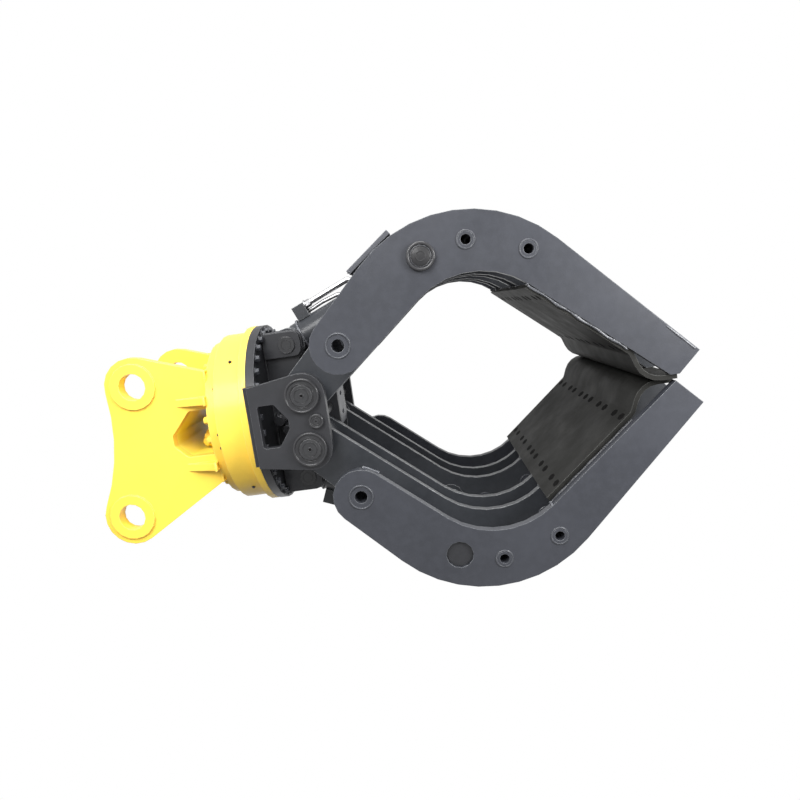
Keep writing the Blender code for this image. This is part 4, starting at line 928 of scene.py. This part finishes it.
def tube_welds(finishes):
    """A bead round each tube where it passes a tine."""
    tubes = []
    for name in TUBES:
        low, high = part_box("jaw_a_" + name)
        tubes.append(((low + high) / 2, (high.x - low.x) / 2, low.y - FINE_WELD, high.y + FINE_WELD))
    build = bmesh.new()
    for level in tine_levels():
        for centre, radius, start, end in tubes:
            if start <= level <= end:
                spot = Vector((centre.x, level, centre.z))
                reach = radius + FINE_WELD / 3
                path = circle(spot, Vector((1, 0, 0)), UPWARD, reach, WELD_CIRCLE_STEPS)
                add_bead(build, path, FINE_WELD, closed=True)
    on_both_jaws("tube_welds", build, "grey", finishes)


def shell_edge():
    """Where jaw a's shell starts on its outer side, the way down along it, and the way through it."""
    top = sorted(node_points("jaw_a_shell"), key=lambda spot: -spot.z)
    inner = min(top[:SHELL_TOP_CORNERS], key=lambda spot: spot.x)
    outer = max(top, key=lambda spot: spot.x)
    through = Vector((outer.x - inner.x, 0, outer.z - inner.z)).normalized()
    run = Vector((-abs(through.z), 0, -abs(through.x)))
    return Vector((outer.x, 0, outer.z)), run, through


def shell_welds(finishes):
    """Long beads between the shell and both sides of each tine, and along its two open edges."""
    start, run, through = shell_edge()
    build = bmesh.new()
    for level in tine_levels()[1:-1]:
        spot = Vector((start.x, level, start.z))
        add_bead(build, [spot, spot + run * SHELL_FLAT], WELD_THROAT)
    on_both_jaws("shell_welds", build, "weld", finishes)
    build = bmesh.new()
    near_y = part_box("jaw_a_shell")[0].y - FINE_WELD / 2
    near = Vector((start.x, near_y, start.z)) - through * FINE_WELD
    add_bead(build, [near, near + run * SHELL_FLAT], WELD_THROAT, wander=FINE_WELD / 2)
    top = Vector((start.x, 0, start.z + FINE_WELD / 2))
    for first, second in tine_faces():
        add_bead(build, [top + ALONG_PINS * first, top + ALONG_PINS * second], WELD_THROAT)
    on_both_jaws("shell_edge_welds", build, "bead", finishes)


def guard_welds(finishes):
    """The run that closes the wedge between the flat guard plate and the outer tine's round back."""
    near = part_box("jaw_a_guard_plate")[0].y + LEVEL_SLACK
    corners = [spot for spot in node_points("jaw_a_guard_plate") if spot.y < near]
    corners = sorted({tuple(round(value, 5) for value in corner) for corner in corners}, key=jaw_reach)
    first, second = (Vector(corner) for corner in corners[:2])
    along = (second - first).normalized()
    inward = JAW_MIDDLE - (first + second) / 2
    inward = (inward - along * inward.dot(along)) * Vector((1, 0, 1))
    shift = inward.normalized() * WELD_THROAT * GUARD_WELD_DEPTH + ALONG_PINS * WELD_THROAT
    build = bmesh.new()
    ends = [first + along * GUARD_WELD_INSET + shift, second - along * GUARD_WELD_INSET + shift]
    add_bead(build, ends, WELD_THROAT * GUARD_WELD_SIZE)
    on_both_jaws("guard_weld", build, "guard", finishes)


def jaw_reach(spot):
    return (Vector(spot) - JAW_MIDDLE).length


def tip_welds(finishes):
    """A run along the tip of jaw a's outer tine, and one inside the round eye of jaw b."""
    build = bmesh.new()
    edge = along_edge("jaw_a_tine_1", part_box("jaw_a_tine_1")[0].y, TIP_WELD_ENDS)
    add_bead(build, [spot + TIP_WELD_INSET for spot in edge], FINE_WELD)
    piece("jaw_a_tip_weld", build, "jaw_a", "bead", finishes)
    build = bmesh.new()
    edge = along_edge("jaw_b_tine_6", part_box("jaw_b_tine_6")[1].y, EYE_WELD_ENDS)
    add_bead(build, edge, WELD_THROAT, wander=EYE_WELD_WANDER)
    piece("jaw_b_eye_weld", build, "jaw_b", "bead", finishes)


def shell_dirt(finishes):
    """Dirt packed in the slots of the shells, and painted shade of the holes."""
    start, _, through = shell_edge()
    flat = [spot for spot in node_points("jaw_a_shell") if spot.z > start.z - SHELL_TOP_STRETCH]
    thickness = max((start - spot).dot(through) for spot in flat)
    build = bmesh.new()
    for loop in face_loops("jaw_a_shell", start - through * thickness, through)[1:]:
        centre = middle(loop)
        rings = []
        for share, sunk in SLOT_FILL_SHAPE:
            spots = [centre + (spot - centre) * share + through * sunk for spot in loop]
            rings.append(add_corners(build, spots))
        close_ends(build, rings)
        loft(build, rings)
    on_both_jaws("slot_dirt_and_shade", build, "dirt_and_shade", finishes)


# Hinges, pins and caps


def add_cap(rims, grooves, holes, pose, radius):
    """A rounded rim, turned grooves and a grease hole with a raised ring on a round cap. The grooves are
    dark wires and the hole a dark disc: painted shade.
    """
    add_ring(rims, pose, radius - CAP_RIM, CAP_RIM, -CAP_RIM / 2)
    for share in CAP_GROOVE_PLACES:
        add_ring(grooves, pose, radius * share, CAP_WIRE)
        add_ring(rims, pose, radius * share + CAP_WIRE_STEP, CAP_WIRE)
    size = min(SOCKET_RADIUS, radius * SOCKET_SHARE)
    add_ring(rims, pose, size, size * SOCKET_WIRE)
    add_turned(holes, [(size * reach, size * height) for reach, height in SOCKET_HOLE], pose, 16)


def add_pin_end(rims, grooves, pose, radius):
    """Two shallow turned rings on a pin end that a tine passes closely, the inner one dark: painted shade
    of a groove.
    """
    add_ring(rims, pose, radius - CAP_GROOVE, CAP_GROOVE, -CAP_GROOVE * PIN_RING_SUNK)
    add_ring(grooves, pose, radius * PIN_GROOVE_PLACE, CAP_GROOVE, -CAP_GROOVE * PIN_RING_SUNK)


def pin_details(finishes):
    """Rims, grooves and grease sockets on the hinge caps, the tie bar and the lug pins."""
    rims, grooves, holes = bmesh.new(), bmesh.new(), bmesh.new()
    one_end = {"hinge_pin_a": -1, "hinge_pin_b": -1, "hinge_end_cap_a": 1, "hinge_end_cap_b": 1}
    for name in (*one_end, "frame_tie_bar", "lug_pin_a", "lug_pin_b"):
        low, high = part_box(name)
        centre = (low + high) / 2
        radius = (high.x - low.x) / 2
        for side, end in ((-1, low.y), (1, high.y)):
            if one_end.get(name, side) != side:
                continue
            pose = facing((centre.x, end, centre.z), (0, side, 0))
            if name.startswith("lug_pin"):
                add_pin_end(rims, grooves, pose, radius)
            else:
                add_cap(rims, grooves, holes, pose, radius)
    piece("cap_rims", rims, "frame", "rim", finishes)
    piece("cap_grooves", grooves, "frame", "groove", finishes)
    # A dark disc in each grease hole: painted shade.
    piece("grease_holes", holes, "frame", "dirt_and_shade", finishes)


def rod_pin_details(finishes):
    """Turned rings and a shallow disc on the collar of the rod pin. The disc and its small ring are dark:
    painted shade inside the collar.
    """
    rims, grooves = bmesh.new(), bmesh.new()
    low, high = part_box("jaw_a_rod_pin")
    centre = (low + high) / 2
    radius = (high.x - low.x) / 2
    pose = facing((centre.x, low.y, centre.z), (0, -1, 0))
    add_ring(rims, pose, radius * ROD_PIN_RIM_PLACE, WELD_THROAT, -WELD_THROAT / 2)
    add_ring(rims, pose, radius * ROD_PIN_RING_PLACE, CAP_GROOVE)
    add_turned(grooves, [(radius * share, height) for share, height in ROD_PIN_FACE], pose, 48)
    add_ring(grooves, pose, radius * ROD_PIN_GROOVE_PLACE, CAP_GROOVE, ROD_PIN_GROOVE_HEIGHT)
    on_both_jaws("rod_pin_rings", rims, "rim", finishes)
    on_both_jaws("rod_pin_face", grooves, "groove", finishes)


# Frame


def frame_bolts(finishes):
    """The ring of bolts under the frame's top plate."""
    low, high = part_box("frame_top_plate")
    radius = (high.x - low.x) / 2 - FRAME_BOLT_INSET
    build = bmesh.new()
    for spot in around(FRAME_BOLT_COUNT, radius, low.z, 0.5):
        add_bolt(build, facing(spot, -UPWARD), *FRAME_BOLT)
    piece("frame_bolts", build, "frame", "grey", finishes)


def foot_welds(build, name, corner, height):
    """Beads along the outlines of a node's level face, at a height."""
    for loop in face_loops(name, corner, UPWARD):
        path = [Vector((spot.x, spot.y, height)) for spot in loop]
        add_bead(build, path, WELD_THROAT, closed=True)


def frame_welds(finishes):
    """Beads where the webs meet the top plate."""
    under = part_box("frame_top_plate")[0].z
    build = bmesh.new()
    for name in ("frame_web_left", "frame_web_right"):
        foot_welds(build, name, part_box(name)[1], under - FINE_WELD / 3)
    piece("frame_welds", build, "frame", "frame", finishes)


def frame_fittings(finishes):
    """Hose fittings on the webs, seen through the side windows."""
    build = bmesh.new()
    for side in (-1, 1):
        for x, z, size in WEB_FITTINGS:
            pose = facing((x * side, WEB_FACE * side, z), (0, side, 0))
            add_bolt(build, pose, size, size)
            add_turned(build, [(size * radius, size * height) for radius, height in FITTING_NECK], pose)
    piece("frame_fittings", build, "frame", "frame", finishes)


# Head


def head_bolts(finishes):
    """Bolts of the slewing ring on the base plate and of the motor."""
    low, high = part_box("head_base_plate")
    radius = (high.x - low.x) / 2 - HEAD_BOLT_INSET
    build = bmesh.new()
    for spot in around(HEAD_BOLT_COUNT, radius, high.z, 0.5):
        if not EAR_BAND[0] < abs(spot.y) < EAR_BAND[1]:
            add_bolt(build, facing(spot, UPWARD), *HEAD_BOLT)
    low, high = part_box("slew_motor")
    centre = (low + high) / 2
    for offset in around(MOTOR_BOLT_COUNT, MOTOR_BOLT_CIRCLE, 0, 0.5):
        spot = centre + offset
        spot.z = high.z
        add_bolt(build, facing(spot, UPWARD), *MOTOR_BOLT)
    piece("head_bolts", build, "head", "yellow", finishes)


def head_welds(finishes):
    """Beads along the feet of the ears and gussets on the base plate."""
    base_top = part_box("head_base_plate")[1].z
    build = bmesh.new()
    for name in ("head_ear_left", "head_ear_right"):
        foot_welds(build, name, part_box(name)[0], base_top + FINE_WELD / 3)
    piece("head_welds", build, "head", "yellow", finishes)


def head_fittings(finishes):
    """A capped hose port on the oil swivel, seen through the hose window."""
    build = bmesh.new()
    pose = facing(PORT_PLACE, PORT_WAY)
    add_turned(build, PORT_NECK, pose, 28)
    add_bolt(build, pose @ Matrix.Translation((0, 0, PORT_NECK[1][1])), *PORT_NUT)
    add_turned(build, PORT_CAP, pose)
    piece("swivel_ports", build, "head", "yellow", finishes)


def ring_plugs(finishes):
    """Grease plugs on the guard ring's top and wall."""
    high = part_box("slew_guard_ring")[1]
    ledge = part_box("head_base_plate")[1].x + PLUG_LEDGE
    wall = high.x - PLUG_WALL_INSET
    build = bmesh.new()
    for angle in TOP_PLUG_ANGLES:
        add_bolt(build, facing(round_z(Vector((ledge, 0, high.z)), angle), UPWARD), *PLUG)
    for angle in WALL_PLUG_ANGLES:
        out = round_z(Vector((1, 0, 0)), angle)
        add_bolt(build, facing(out * wall + UPWARD * PLUG_WALL_Z, out), *PLUG)
    piece("ring_plugs", build, "head", "seal", finishes)


# Cylinders


def on_cylinder(along, out=0.0, side=0.0):
    """A point of cylinder a, measured from its lug pin."""
    return LUG + CYLINDER_AXIS * along + CYLINDER_OUT * out + ALONG_PINS * side


def gland_rings(finishes):
    """The ring of each gland with its screws."""
    reach = max((spot - LUG).dot(CYLINDER_AXIS) for spot in node_points("cylinder_a_gland"))
    face = facing(on_cylinder(reach), CYLINDER_AXIS)
    build = bmesh.new()
    add_turned(build, GLAND_RING, face, GLAND_RING_STEPS)
    for spot in around(GLAND_SCREW_COUNT, GLAND_SCREW_CIRCLE, GLAND_SCREW_HEIGHT):
        add_bolt(build, facing(face @ spot, CYLINDER_AXIS), *GLAND_SCREW)
    on_both_cylinders("gland_ring", build, "steel", finishes)


def cylinder_welds(finishes):
    """The weld between each barrel and its base eye."""
    centre = on_cylinder(BASE_EYE_WELD)
    path = circle(centre, ALONG_PINS, CYLINDER_OUT, BASE_EYE_WELD_RADIUS, WELD_CIRCLE_STEPS)
    build = bmesh.new()
    add_bead(build, path, WELD_THROAT, closed=True)
    on_both_cylinders("welds", build, "bead", finishes)


def pipe_fittings(finishes):
    """The nuts at both ends of each oil pipe, and a short second pipe."""
    build = bmesh.new()
    add_bolt(build, facing(on_cylinder(*LOW_PIPE_NUT_PLACE), CYLINDER_AXIS), *LOW_PIPE_NUT)
    add_bolt(build, facing(on_cylinder(*HIGH_PIPE_NUT_PLACE), CYLINDER_OUT), *HIGH_PIPE_NUT)
    add_pipe(build, [on_cylinder(*spot) for spot in SHORT_PIPE], SHORT_PIPE_RADIUS)
    on_both_cylinders("pipe_nuts", build, "steel", finishes)


def main():
    bpy.context.scene.view_settings.view_transform = "Standard"
    camera()
    world()
    for row in LAMPS:
        lamp(*row)
    floor()
    finishes = make_finishes()
    dress_nodes(finishes)
    tube_welds(finishes)
    shell_welds(finishes)
    guard_welds(finishes)
    tip_welds(finishes)
    shell_dirt(finishes)
    pin_details(finishes)
    rod_pin_details(finishes)
    frame_bolts(finishes)
    frame_welds(finishes)
    frame_fittings(finishes)
    head_bolts(finishes)
    head_welds(finishes)
    head_fittings(finishes)
    ring_plugs(finishes)
    gland_rings(finishes)
    cylinder_welds(finishes)
    pipe_fittings(finishes)


main()
